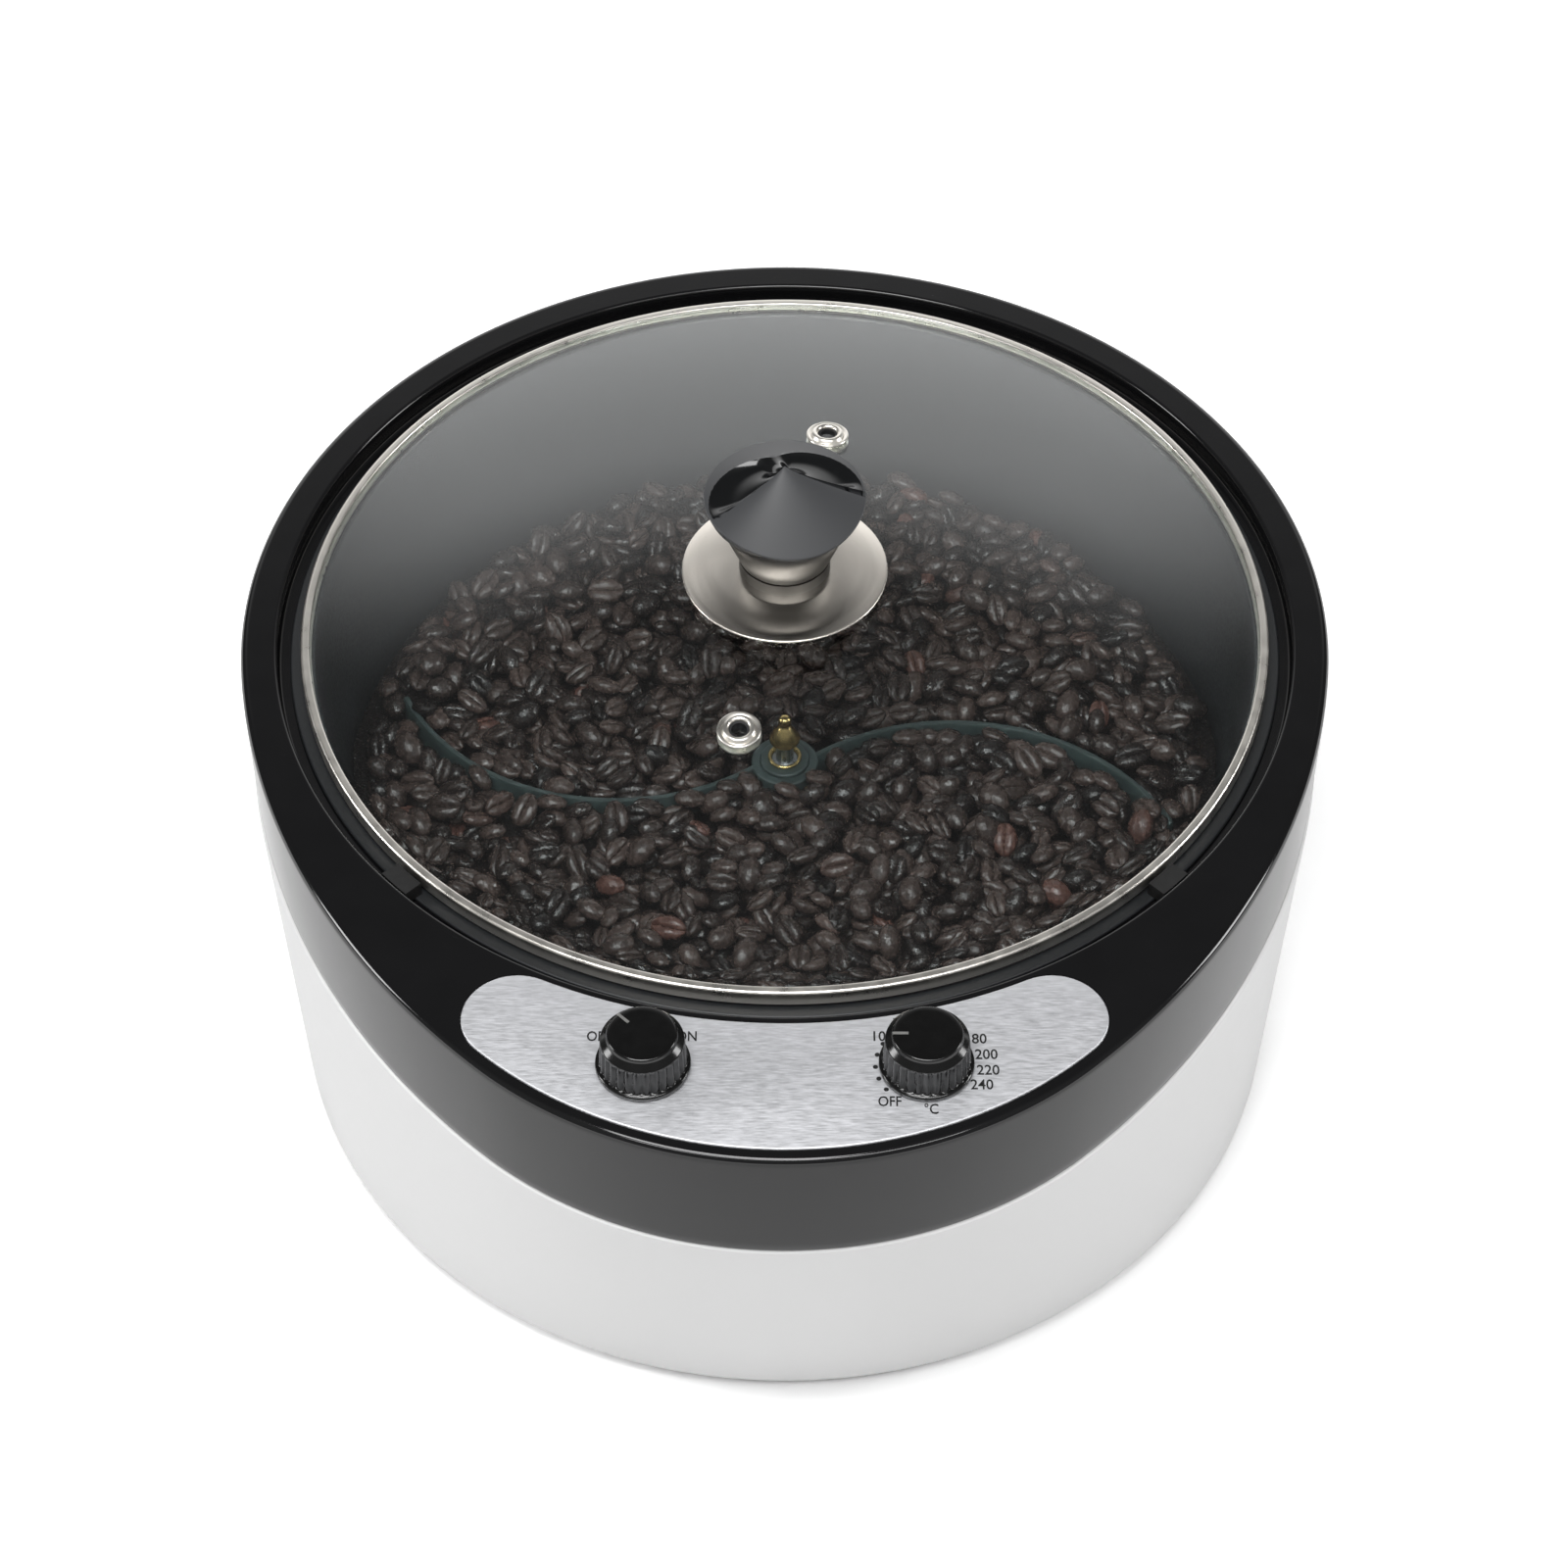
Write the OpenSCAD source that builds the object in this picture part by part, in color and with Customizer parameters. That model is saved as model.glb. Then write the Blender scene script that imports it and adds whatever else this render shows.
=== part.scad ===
// Home coffee bean roaster: a round heated pan with a turning stirrer under a
// domed glass lid, in an egg-shaped housing with two control knobs in front.
// All sizes are in millimetres. +Z is up, -Y is the front. The part stands on z = 0.

/* [Housing] */
// Width of the deck between the lid recess and the outer edge, at the back
deck_w = 9.9; // [8:0.1:16]
// Radius of the front end of the deck outline
front_r = 115.4; // [110:0.1:122]
// Distance from the pan axis forward to the centre of the front end
front_offset = 70.2; // [64:0.1:78]
// Radius of the long side curves of the deck outline
side_r = 222; // [200:1:260]
// Height of the black band
band_h = 38; // [34:1:50]
// Height of the white shell
shell_h = 119; // [112:1:140]
// How far the round foot of the shell lies inside the deck outline at the back
shell_draft = 5.2; // [3:0.1:7]
// Wall of the white shell
shell_wall = 2; // [1.5:0.1:3]
// Wall of the black ring
ring_wall = 2.5; // [2:0.1:3.5]
// Radius of the rounded outer edge of the deck
deck_edge_r = 2; // [1:0.1:2.4]
// Thickness of the base plate
base_t = 1.5; // [1:0.1:2.5]
// Height of the feet below the shell
foot_h = 6; // [4:0.5:12]
// Radius of a foot
foot_r = 10; // [8:0.5:12]
// Distance of the feet from the pan axis
foot_circle_r = 116; // [110:1:118]

/* [Pan and lid] */
// Inner radius of the pan at its mouth
pan_r = 129; // [120:0.5:140]
// How much narrower the pan wall is above its bottom corner
pan_taper = 3; // [1:0.5:6]
// Depth of the pan below its flange
pan_depth = 79.6; // [70:0.1:84]
// Radius of the pan's bottom corner
pan_corner_r = 20; // [12:1:26]
// Wall of the pan
pan_wall = 1.2; // [0.8:0.1:2]
// Depth of the ledge below the deck
recess_depth = 5.8; // [5:0.1:8]
// How far the lid rim reaches past the pan mouth
lid_overlap = 4; // [3:0.1:5]
// Width of the groove between the lid rim and the deck
lid_gap = 6.6; // [4.5:0.1:10]
// Height of the lid rim
rim_h = 4.7; // [4.3:0.1:7]
// Sheet of the lid rim
rim_t = 0.8; // [0.6:0.1:1]
// Rise of the glass dome
dome_h = 20.5; // [10:0.5:30]
// Thickness of the glass
glass_t = 3; // [2.5:0.1:3.1]
// Distance of each steam vent from the lid axis
vent_circle_r = 57.9; // [45:0.5:80]
// Angle of the first steam vent, counted from the right
vent_angle = 78; // [60:1:120]
// Bore radius of a steam vent
vent_bore_r = 3; // [2:0.1:3.4]
// Radius of the steel plate under the lid knob
knob_plate_r = 28; // [24:0.5:34]
// Height of the steel neck
neck_h = 22; // [16:0.5:30]
// Radius of the neck at its foot
neck_r = 12.4; // [10:0.1:14]
// Radius of the neck below the cap
neck_top_r = 19.3; // [17:0.1:20.5]
// Radius of the cap's rim
cap_r = 21.5; // [21:0.1:26]
// Height of the cap
cap_h = 14.5; // [12:0.5:18]

/* [Stirrer and beans] */
// Height of the blade
blade_h = 25.5; // [18:0.5:32]
// Thickness of the blade
blade_t = 2; // [1.5:0.1:3]
// Radius of each blade arm's curve
blade_curve_r = 67; // [62:1:70]
// Distance of a blade tip from the axis
blade_reach = 112; // [100:1:118]
// Gap between the blade and the pan
blade_gap = 1.5; // [1:0.1:3]
// Radius of the stirrer hub's spigot
hub_r = 7; // [6:0.1:8]
// Depth of the bean charge between its heaps
bean_depth = 22; // [12:1:24]
// Rings of small heaps on the bean charge
bean_rings = 5; // [4:1:6]
// Height of a heap
heap_h = 4; // [2:0.5:5]

/* [Controls] */
// Distance of each knob from the middle plane
knob_x = 35.5; // [30:0.5:42]
// How far the knobs lie behind the middle of the control plate
knob_back = 1.14; // [0:0.01:2]
// Radius of a knob at its base
knob_r = 12; // [10.8:0.1:14]
// Height of a knob
knob_h = 12.5; // [11:0.5:16]
// Number of flutes round a knob
flute_count = 28; // [18:1:36]
// Radius of a control spindle
spindle_r = 3; // [2.5:0.1:3.2]
// Thickness of the control plate
plate_t = 1.5; // [1.2:0.1:2]
// Width of black deck between the lid recess and the control plate
plate_gap = 2.2; // [1.5:0.1:3]
// Width of black deck between the control plate and the deck's front edge
plate_margin = 3.8; // [3:0.1:6]
// Distance of the control plate's round ends from the middle plane, to their centres
plate_end_x = 68.07; // [64:0.01:71]
// Gap between the power switch and the housing's walls
switch_room = 2.9; // [2:0.1:4]
// Gap between the thermostat and the wall of the lid recess
thermostat_room = 3.4; // [2:0.1:5]

/* [Drive] */
// Module of all gear teeth
gear_module = 0.8; // [0.7:0.05:0.9]
// Teeth of each pinion
pinion_teeth = 12; // [10:2:14]
// Teeth of each wheel
wheel_teeth = 54; // [48:2:56]
// Thickness of the first gear pair
gear1_t = 3; // [2:0.5:5]
// Thickness of the second gear pair
gear2_t = 4.5; // [3:0.5:6]
// Radius of the motor can
motor_r = 22; // [20:0.5:24]
// Height of the motor can
motor_h = 19; // [16:0.5:24]
// Radius of the output shaft
shaft_r = 3.5; // [3:0.1:4]

/* [Heater] */
// Radius of the heating ring
element_r = 75; // [70:1:88]
// Radius of the heater's tube
tube_r = 3.3; // [3:0.1:4]
// Space between the heat shield and the pan
shield_space = 16; // [14:1:20]
// Height of the heat shield's wall
shield_h = 60; // [40:1:62]
// Sheet of the heat shield
shield_t = 0.8; // [0.6:0.1:1.2]

/* [Fits] */
// Running clearance of a shaft in its hole
run_fit = 0.05; // [0.03:0.01:0.08]
// Clearance of a screw in its hole
screw_fit = 0.1; // [0.05:0.05:0.2]
// Gap between pieces that lie close without touching
seat_gap = 0.3; // [0.2:0.05:0.4]

/* [Hidden] */
$fn = 96;
eps = 0.01;
outline_steps = 120;

// Radii, from the pan outwards
rim_r = pan_r + lid_overlap;
recess_r = rim_r + lid_gap;
back_r = recess_r + deck_w;
foot_ring_r = back_r - shell_draft;
pan_flange_r = rim_r + lid_gap / 2;
ledge_r = pan_r + pan_wall + 1.3;
base_r = foot_ring_r - shell_wall - seat_gap;
tie_circle_r = base_r - 5;
shield_r = pan_r + pan_wall + shield_t + 0.8;

// The side curves touch the back curve and the front curve
side_cy = (pow(side_r - front_r, 2) - pow(side_r - back_r, 2) - pow(front_offset, 2)) / (2 * front_offset);
side_cx = sqrt(pow(side_r - back_r, 2) - pow(side_cy, 2));
back_join = atan2(-side_cy, side_cx);
front_join = atan2(-front_offset - side_cy, side_cx);

// The origin is the middle of the outline, on the ground
pan_y = (front_offset + front_r - back_r) / 2;

// Heights, from the ground upwards
flange_t = 2;
floor_z = foot_h + flange_t;
inside_z = floor_z + base_t;
seam_z = foot_h + shell_h;
deck_z = seam_z + band_h;
ledge_z = deck_z - recess_depth;
pan_top_z = ledge_z + pan_wall;
pan_floor_z = pan_top_z - pan_depth;
pan_under_z = pan_floor_z - pan_wall;
shield_z = pan_under_z - shield_space;

// Screws: shank and head radii, head height
m3_r = 1.5;
m3_head_r = 2.8;
m3_head_h = 1.8;
m4_r = 2;
m4_head_r = 3.6;
m4_head_h = 1.8;
head_room = 0.6;
screw_end = 2;
post_grip = 8;
foot_bevel = 1.5;
foot_web = 1;
corner_angles = [45, 135, 225, 315];
boss_r = 4;
boss_bottom_z = seam_z + 3;
tie_grip = 20;

// Air slots in the base plate
air_slot = [5, 36];
air_slot_pitch = 14;
air_slot_y = 76;

// Ring: lip that locates it in the shell, and its foot
lip_h = 3;
lip_t = 1.5;
front_slope = (front_offset + front_r - foot_ring_r) / shell_h;
lip_inset = shell_wall + seat_gap + seam_step() + lip_h * front_slope;

// Lid
lid_seat = 0.1;
gasket_t = 0.8;
gasket_z = pan_top_z + lid_seat;
rim_z = gasket_z + gasket_t;
glass_edge_z = rim_z + rim_t + 0.1;
glass_r = rim_r - rim_t - 0.3;
dome_r = glass_r - 2;
dome_radius = (pow(dome_r, 2) + pow(dome_h, 2)) / (2 * dome_h);
glass_top_z = glass_edge_z + glass_t + dome_h;
vent_flange_r = 6;
vent_flange_t = 1;
vent_tube_r = vent_bore_r + 0.9;
washer_t = 0.8;
knob_plate_z = glass_top_z + washer_t;
knob_plate_t = 1;
knob_plate_drop = 1.6;
neck_z = knob_plate_z + knob_plate_t;
collar_h = 3.6;
groove_h = 0.5;
groove_depth = 0.5;
cap_z = neck_z + neck_h;
lid_screw_r = 2.5;
lid_screw_grip = 14;

// Stirrer
hub_z = pan_floor_z + 1;
hub_skirt_r = 11;
hub_skirt_h = 7.5;
hub_top_z = pan_floor_z + blade_gap + blade_h + 1;
sleeve_t = 2.5;
washer_r = 5;
hub_washer_t = 1.2;
nut_r = 4.3;
nut_body_h = 7.3;
nut_cone_h = 4.5;
nut_stub_r = 1.7;
nut_stub_h = 4;
stud_r = 2.5;
stud_h = 8;
blade_centre = [48, -52];
heap_edge = 18;
heap_step = (pan_r - pan_taper - heap_edge) / bean_rings;
heap_base_r = 0.41 * heap_step;
heap_ball_r = (heap_base_r * heap_base_r + heap_h * heap_h) / (2 * heap_h);
heap_sink = heap_ball_r - heap_h;
heap_drop = 1;
heap_turn = 11;
bush_r = 6;
bush_flange_r = 10;
bush_flange_t = 1.5;
bush_rise = 5;

// Gear motor: both stages share one centre distance, so the train folds back on the axis
gear_distance = gear_module * (pinion_teeth + wheel_teeth) / 2;
backlash = 0.2;
wheel_tip_r = gear_module * (wheel_teeth / 2 + 0.8);
gear_room = wheel_tip_r + 1;
gearbox_wall = 2;
gearbox_r = gear_room + gearbox_wall;
motor_z = inside_z + 1.5;
motor_wall = 1;
gearbox_z = motor_z + motor_h;
gearbox_floor_t = 1.5;
gear1_z = gearbox_z + gearbox_floor_t + 0.8;
gear2_z = gear1_z + gear1_t + 1.2;
gearbox_inner_top = gear2_z + gear2_t + 0.8;
gearbox_top_t = 2.4;
gearbox_top_z = gearbox_inner_top + gearbox_top_t;
pivot_r = 2;
idler_pin_r = 1.5;
rotor_r = 12.5;
air_gap = 1;
coil_drop = 3;
coil_r = motor_r - motor_wall - seat_gap;
ear_y = gearbox_r + 3;
ear_r = 4.5;
bracket_t = 1.5;
bracket_y = ear_y + ear_r + 2;
bracket_x0 = -gearbox_r - 6;
bracket_x1 = gear_distance + gearbox_r + 6;
bracket_flange = 12;

// Heater
element_z = pan_under_z - seat_gap - tube_r;
element_gap_angle = 60;
leg_r = tube_r + 0.2;
leg_drop = 10;
leg_hole_r = leg_r + 1.5;
leg_bush_r = leg_hole_r - 0.1;
leg_bush_flange_r = leg_hole_r + 1.5;
leg_bush_flange_t = 1.5;
leg_bush_l = 3;
saddle_size = [8, 10];
saddle_angles = [0, 180, 270];
post_circle_r = 98;
post_r = 4;
bulb_r = 3;
bulb_half = 34;
bulb_y = -52;
bulb_z = pan_under_z - seat_gap - bulb_r;
capillary_r = 0.8;
capillary_x = 42;
capillary_hole_r = capillary_r + 1.7;
capillary_z = shield_z - 10;
riser_r = (shield_r + recess_r + ring_wall) / 2;
riser_angle = -77;

// Controls
pocket_depth = plate_t - 0.3;
plate_z = deck_z - pocket_depth;
plate_top_z = plate_z + plate_t;
plate_inner_r = recess_r + plate_gap;
plate_outer_r = front_r - plate_margin;
plate_mid_y = (sqrt(pow(plate_inner_r, 2) - pow(knob_x, 2)) + front_offset
    + sqrt(pow(plate_outer_r, 2) - pow(knob_x, 2))) / 2;
knob_y = plate_mid_y - knob_back;
plate_fit = 0.2;
deck_under_z = deck_z - ring_wall;
bushing_r = spindle_r + 1.6;
control_nut_r = 7;
control_nut_h = 2;
switch_w = 26;
switch_h = 18;
switch_back_y = -switch_room
    - sqrt(pow(recess_r + ring_wall, 2) - pow(knob_x - switch_w / 2, 2));
switch_front_y = switch_room - front_offset
    - sqrt(pow(front_r - ring_wall, 2) - pow(knob_x + switch_w / 2, 2));
thermostat_r = norm([knob_x, knob_y]) - recess_r - ring_wall - thermostat_room;
thermostat_h = 14;
tab_h = 6;
tab_x = 6;
switch_z = deck_under_z - switch_h;
thermostat_z = deck_under_z - thermostat_h;
knob_z = plate_top_z + 0.4;
knob_cavity_r = 8.3;
knob_cavity_h = 3.6;
knob_base_h = 1.4;
knob_skirt_r = knob_r - 0.9;
knob_crown_h = 3.4;
knob_top_r = knob_r - 2.6;
spindle_top_z = knob_z + knob_h - 2.5;
tick_w = 0.8;
tick_l = 4;
tick_h = 0.5;
power_rest_angle = 45;
thermostat_rest_angle = 90;

// Gland in the back of the shell
gland_z = inside_z + 20;
gland_r = 6;
gland_flange_r = 9;
gland_flange_t = 2.4;
gland_bore_r = 3.5;
gland_grip = shell_wall + 3.4;
gland_nut_t = 2;

// Terminal block and fuse
block_size = [40, 16, 14];
block_at = [-56, 92];
terminal_pitch = 10;
terminal_r = 2.5;
terminal_depth = 5;
fuse_at = [-52, 56];
fuse_r = 2.2;
fuse_l = 14;

// ---- Outlines -------------------------------------------------------------

// The shell starts this far inside the band
function seam_step() = 0.6;

// Point at angle a on a circle round c
function on_circle(c, r, a) = [c[0] + r * cos(a), c[1] + r * sin(a)];

// Points of an arc round c, from angle a0 to angle a1
function arc(c, r, a0, a1, n) = [for (i = [0:n]) on_circle(c, r, a0 + (a1 - a0) * i / n)];

// Point of the deck outline, drawn in by t, whose outward direction is the angle a
function egg_at(a, t) =
    let (turn = a < back_join ? a + 360 : a)
    turn < 180 - back_join ? on_circle([0, 0], back_r - t, turn)
    : turn < 180 - front_join ? on_circle([side_cx, side_cy], side_r - t, turn)
    : turn < 360 + front_join ? on_circle([0, -front_offset], front_r - t, turn)
    : on_circle([-side_cx, side_cy], side_r - t, turn);

// Directions round an outline, one per point
function turns() = [for (i = [0:outline_steps - 1]) 360 * i / outline_steps];

// Deck outline drawn in by t
module egg(t) polygon([for (a = turns()) egg_at(a, t)]);

// Upright wall between two insets of the deck outline
module egg_wall(t0, t1, z0, z1)
    translate([0, 0, z0]) linear_extrude(z1 - z0) difference() { egg(t0); egg(t1); }

// Upright round tube
module tube(r0, r1, z0, z1)
    translate([0, 0, z0]) difference() {
        cylinder(r = r1, h = z1 - z0);
        translate([0, 0, -1]) cylinder(r = r0, h = z1 - z0 + 2);
    }

// Upright round bar
module bar(r, z0, z1) translate([0, 0, z0]) cylinder(r = r, h = z1 - z0);

// Copies at the four corners of a circle
module corners(r) for (a = corner_angles) rotate(a) translate([r, 0, 0]) children();

// Everything is drawn round the pan axis and then moved to its place
module at_pan() translate([0, pan_y, 0]) children();

// Screw with its head below, the head's upper face at z0, the tip at z1
module screw_up(r, head_r, head_h, z0, z1) {
    bar(head_r, z0 - head_h, z0);
    bar(r, z0 - eps, z1);
}

// Screw with its head above, the head's lower face at z1, the tip at z0
module screw_down(r, head_r, head_h, z0, z1) {
    bar(head_r, z1, z1 + head_h);
    bar(r, z0, z1 + eps);
}

// ---- Housing --------------------------------------------------------------

// Point of the shell at direction a and share s of its height, t inside its outer face
function shell_at(a, s, t) =
    let (low = on_circle([0, 0], foot_ring_r - t, a), high = egg_at(a, seam_step() + t))
    concat(low + (high - low) * s, foot_h + s * shell_h);

// One closed row of points round the shell
function shell_row(s, t) = [for (a = turns()) shell_at(a, s, t)];

// Solid between rows of points, each row joined to the next and the last to the first
module ring_loft(rows) {
    n = len(rows[0]);
    m = len(rows);
    polyhedron(
        points = [for (row = rows) each row],
        faces = [for (j = [0:m - 1]) for (i = [0:n - 1])
            let (k = (j + 1) % m, q = (i + 1) % n)
            each [[j * n + i, k * n + i, k * n + q], [j * n + i, k * n + q, j * n + q]]]);
}

module shell_body() {
    flange_inner = [for (a = turns()) on_circle([0, 0], ledge_r, a)];
    shelf = flange_t / shell_h;
    ring_loft([
        shell_row(0, 0),
        shell_row(1, 0),
        shell_row(1, shell_wall),
        shell_row(shelf, shell_wall),
        [for (p = flange_inner) concat(p, floor_z)],
        [for (p = flange_inner) concat(p, foot_h)]
    ]);
}

module lower_shell() color("gainsboro") at_pan() difference() {
    shell_body();
    corners(tie_circle_r) bar(m4_r + screw_fit, foot_h - 1, floor_z + 1);
    gland_axis() cylinder(r = gland_r + screw_fit, h = 40, center = true);
}

module base_plate() color("silver") at_pan() difference() {
    bar(base_r, floor_z, inside_z);
    corners(tie_circle_r) bar(m4_r + screw_fit, floor_z - 1, inside_z + 1);
    corners(foot_circle_r) bar(m4_r + screw_fit, floor_z - 1, inside_z + 1);
    corners(post_circle_r) bar(m3_r + screw_fit, floor_z - 1, inside_z + 1);
    bracket_corners() bar(m3_r + screw_fit, floor_z - 1, inside_z + 1);
    for (x = [-2:2], y = [-1, 1])
        translate([air_slot_pitch * x, air_slot_y * y, (floor_z + inside_z) / 2])
            cube([air_slot[0], air_slot[1], base_t + 2], center = true);
}

// Rubber foot, hollow below round its screw
module foot() difference() {
    rotate_extrude() polygon([
        [0, 0], [foot_r - foot_bevel, 0], [foot_r, foot_bevel], [foot_r, foot_h],
        [foot_r - 1, floor_z], [0, floor_z]]);
    bar(m4_head_r + head_room, -1, foot_h - foot_web);
    bar(m4_r + screw_fit, 0, floor_z + 1);
}

module feet() color("dimgray") at_pan() corners(foot_circle_r) foot();

module foot_screws() color("silver") at_pan()
    corners(foot_circle_r)
        screw_up(m4_r, m4_head_r, m4_head_h, foot_h - foot_web, inside_z + screw_end);

module tie_bolts() color("silver") at_pan()
    corners(tie_circle_r) screw_up(m4_r, m4_head_r, m4_head_h, foot_h, boss_bottom_z + tie_grip);

module ring_body() {
    egg_wall(0, ring_wall, seam_z, deck_z - deck_edge_r);
    egg_wall(0, lip_inset + lip_t, seam_z, seam_z + ring_wall);
    egg_wall(lip_inset, lip_inset + lip_t, seam_z - lip_h, seam_z + eps);
    // rounded edge, in thin steps
    for (k = [0:3]) {
        z0 = deck_edge_r * sin(22.5 * k);
        z1 = deck_edge_r * sin(22.5 * (k + 1));
        inset = deck_edge_r * (1 - cos(22.5 * (k + 0.5)));
        egg_wall(inset, ring_wall, deck_z - deck_edge_r + z0 - eps, deck_z - deck_edge_r + z1);
    }
    translate([0, 0, deck_under_z]) linear_extrude(ring_wall) difference() {
        egg(ring_wall - 0.1);
        circle(r = recess_r);
    }
    tube(recess_r, recess_r + ring_wall, ledge_z - ring_wall, deck_z);
    tube(ledge_r, recess_r + 1, ledge_z - ring_wall, ledge_z);
    corners(tie_circle_r) bar(boss_r, boss_bottom_z, ledge_z - ring_wall + eps);
}

module top_ring() color([0.12, 0.12, 0.13]) at_pan() difference() {
    ring_body();
    translate([0, 0, plate_z]) linear_extrude(plate_t) plate_outline(plate_fit);
    knob_places() bar(bushing_r + screw_fit, deck_under_z - 1, deck_z);
    corners(tie_circle_r) bar(m4_r + screw_fit, boss_bottom_z - 1, boss_bottom_z + tie_grip + 2);
}

// Outline of the control plate, grown by g: outer arc, round end, inner arc, round end.
// The round ends touch both arcs, which gives their radius and their centres.
module plate_outline(g) {
    ex = plate_end_x;
    k = (plate_inner_r + plate_outer_r) / front_offset;
    m = (pow(plate_inner_r, 2) - pow(plate_outer_r, 2) + pow(front_offset, 2)) / (2 * front_offset);
    qa = 1 - k * k;
    qb = 2 * (plate_inner_r - m * k);
    qc = pow(plate_inner_r, 2) - ex * ex - m * m;
    plate_end_r = (-qb - sqrt(qb * qb - 4 * qa * qc)) / (2 * qa);
    ey = -(m + k * plate_end_r);
    outer_a = atan2(ey + front_offset, ex);
    inner_a = atan2(ey, ex);
    polygon(concat(
        arc([0, -front_offset], plate_outer_r + g, -180 - outer_a, outer_a, 40),
        arc([ex, ey], plate_end_r + g, outer_a, inner_a + 180, 16),
        arc([0, 0], plate_inner_r - g, inner_a, -180 - inner_a, 30),
        arc([-ex, ey], plate_end_r + g, -inner_a, 180 - outer_a, 16)));
}

// Copies at both knobs, the left one first
module knob_places() for (side = [-1, 1]) translate([side * knob_x, -knob_y, 0]) children();

module control_plate() color("lightgray") at_pan() difference() {
    translate([0, 0, plate_z]) linear_extrude(plate_t) plate_outline(0);
    knob_places() bar(bushing_r + screw_fit, plate_z - 1, plate_top_z + 1);
}

// ---- Pan and heat shield --------------------------------------------------

// Half section of the space inside the pan up to height z, grown by g
function pan_section(g, z) =
    let (
        wall_r = pan_r - pan_taper,
        corner = [wall_r - pan_corner_r, pan_floor_z + pan_corner_r],
        share = (z - corner[1]) / (pan_top_z - corner[1])
    )
    concat(
        [[0, z], [0, pan_floor_z - g]],
        arc(corner, pan_corner_r + g, -90, 0, 8),
        [[wall_r + g + pan_taper * share, z]]);

module roasting_pan() color([0.16, 0.16, 0.17]) at_pan() difference() {
    union() {
        rotate_extrude() polygon(pan_section(pan_wall, pan_top_z));
        bar(pan_flange_r, ledge_z, pan_top_z);
    }
    rotate_extrude() polygon(pan_section(0, pan_top_z + 1));
    bar(bush_r + screw_fit, pan_under_z - 1, pan_floor_z + 1);
}

// Small blocks in the groove that keep the pan's flange down
clip_angle = 47;
clip_half_angle = 2;
clip_h = 4.2;
module pan_clips() color([0.1, 0.1, 0.1]) at_pan()
    for (side = [-1, 1]) rotate(-90 + side * clip_angle - clip_half_angle)
        translate([0, 0, pan_top_z]) rotate_extrude(angle = 2 * clip_half_angle)
            translate([rim_r + 1, 0]) square([lid_gap - 1 - seat_gap, clip_h]);

module shaft_bush() color("darkgoldenrod") at_pan() difference() {
    union() {
        bar(bush_flange_r, pan_under_z - bush_flange_t, pan_under_z);
        bar(bush_r, pan_under_z - eps, pan_floor_z + bush_rise);
    }
    bar(shaft_r + run_fit, pan_under_z - bush_flange_t - 1, pan_floor_z + bush_rise + 1);
}

module heat_shield() color("lightsteelblue") at_pan() difference() {
    bar(shield_r, shield_z, shield_z + shield_h);
    bar(shield_r - shield_t, shield_z + shield_t, shield_z + shield_h + 1);
    bar(bush_flange_r, shield_z - 1, shield_z + 2);
    corners(post_circle_r) bar(m3_r + screw_fit, shield_z - 1, shield_z + 2);
    element_ends() bar(leg_hole_r, shield_z - 1, shield_z + 2);
    translate([capillary_x, bulb_y, 0]) bar(capillary_hole_r, shield_z - 1, shield_z + 2);
}

module shield_posts() color("silver") at_pan() corners(post_circle_r) difference() {
    bar(post_r, inside_z, shield_z);
    bar(m3_r + screw_fit, inside_z - 1, inside_z + post_grip + 1);
    bar(m3_r + screw_fit, shield_z - post_grip - 1, shield_z + 1);
}

module shield_screws() color("gray") at_pan() corners(post_circle_r) {
    screw_up(m3_r, m3_head_r, m3_head_h, floor_z, inside_z + post_grip);
    screw_down(m3_r, m3_head_r, m3_head_h, shield_z - post_grip, shield_z + shield_t);
}

// ---- Heater ---------------------------------------------------------------

// Copies at the two ends of the open heating ring
module element_ends()
    for (a = [90 - element_gap_angle / 2, 90 + element_gap_angle / 2])
        rotate(a) translate([element_r, 0, 0]) children();

module heating_element() color("slategray") at_pan() {
    translate([0, 0, element_z]) rotate(90 + element_gap_angle / 2)
        rotate_extrude(angle = 360 - element_gap_angle) translate([element_r, 0]) circle(r = tube_r);
    element_ends() bar(leg_r, shield_z - leg_drop, element_z + tube_r);
}

// Upright support from the shield to the underside of a bar at height z
module saddle(z) translate([-saddle_size[0] / 2, -saddle_size[1] / 2, shield_z + shield_t])
    cube([saddle_size[0], saddle_size[1], z - shield_z - shield_t]);

module element_saddles() color("silver") at_pan() {
    for (a = saddle_angles) rotate(a) translate([element_r, 0, 0]) saddle(element_z - tube_r);
    for (side = [-1, 1]) translate([side * bulb_half / 2, bulb_y, 0]) saddle(bulb_z - bulb_r);
}

module element_bushes() color("ivory") at_pan() element_ends() {
    top_z = shield_z + shield_t;
    tube(leg_r + screw_fit, leg_bush_r, shield_z - leg_bush_l, top_z + eps);
    tube(leg_r + screw_fit, leg_bush_flange_r, top_z, top_z + leg_bush_flange_t);
}

// ---- Gear motor -----------------------------------------------------------

// Degrees of the involute function at pressure angle a
function involute(a) = tan(a) * 180 / PI - a;

// Half the angle that one tooth takes up at radius r
function tooth_half(teeth, r) =
    let (
        pitch_r = gear_module * teeth / 2,
        base = pitch_r * cos(20),
        thickness = 90 / teeth - backlash / pitch_r / 2 * 180 / PI
    )
    thickness + involute(20) - involute(acos(min(1, base / r)));

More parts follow.
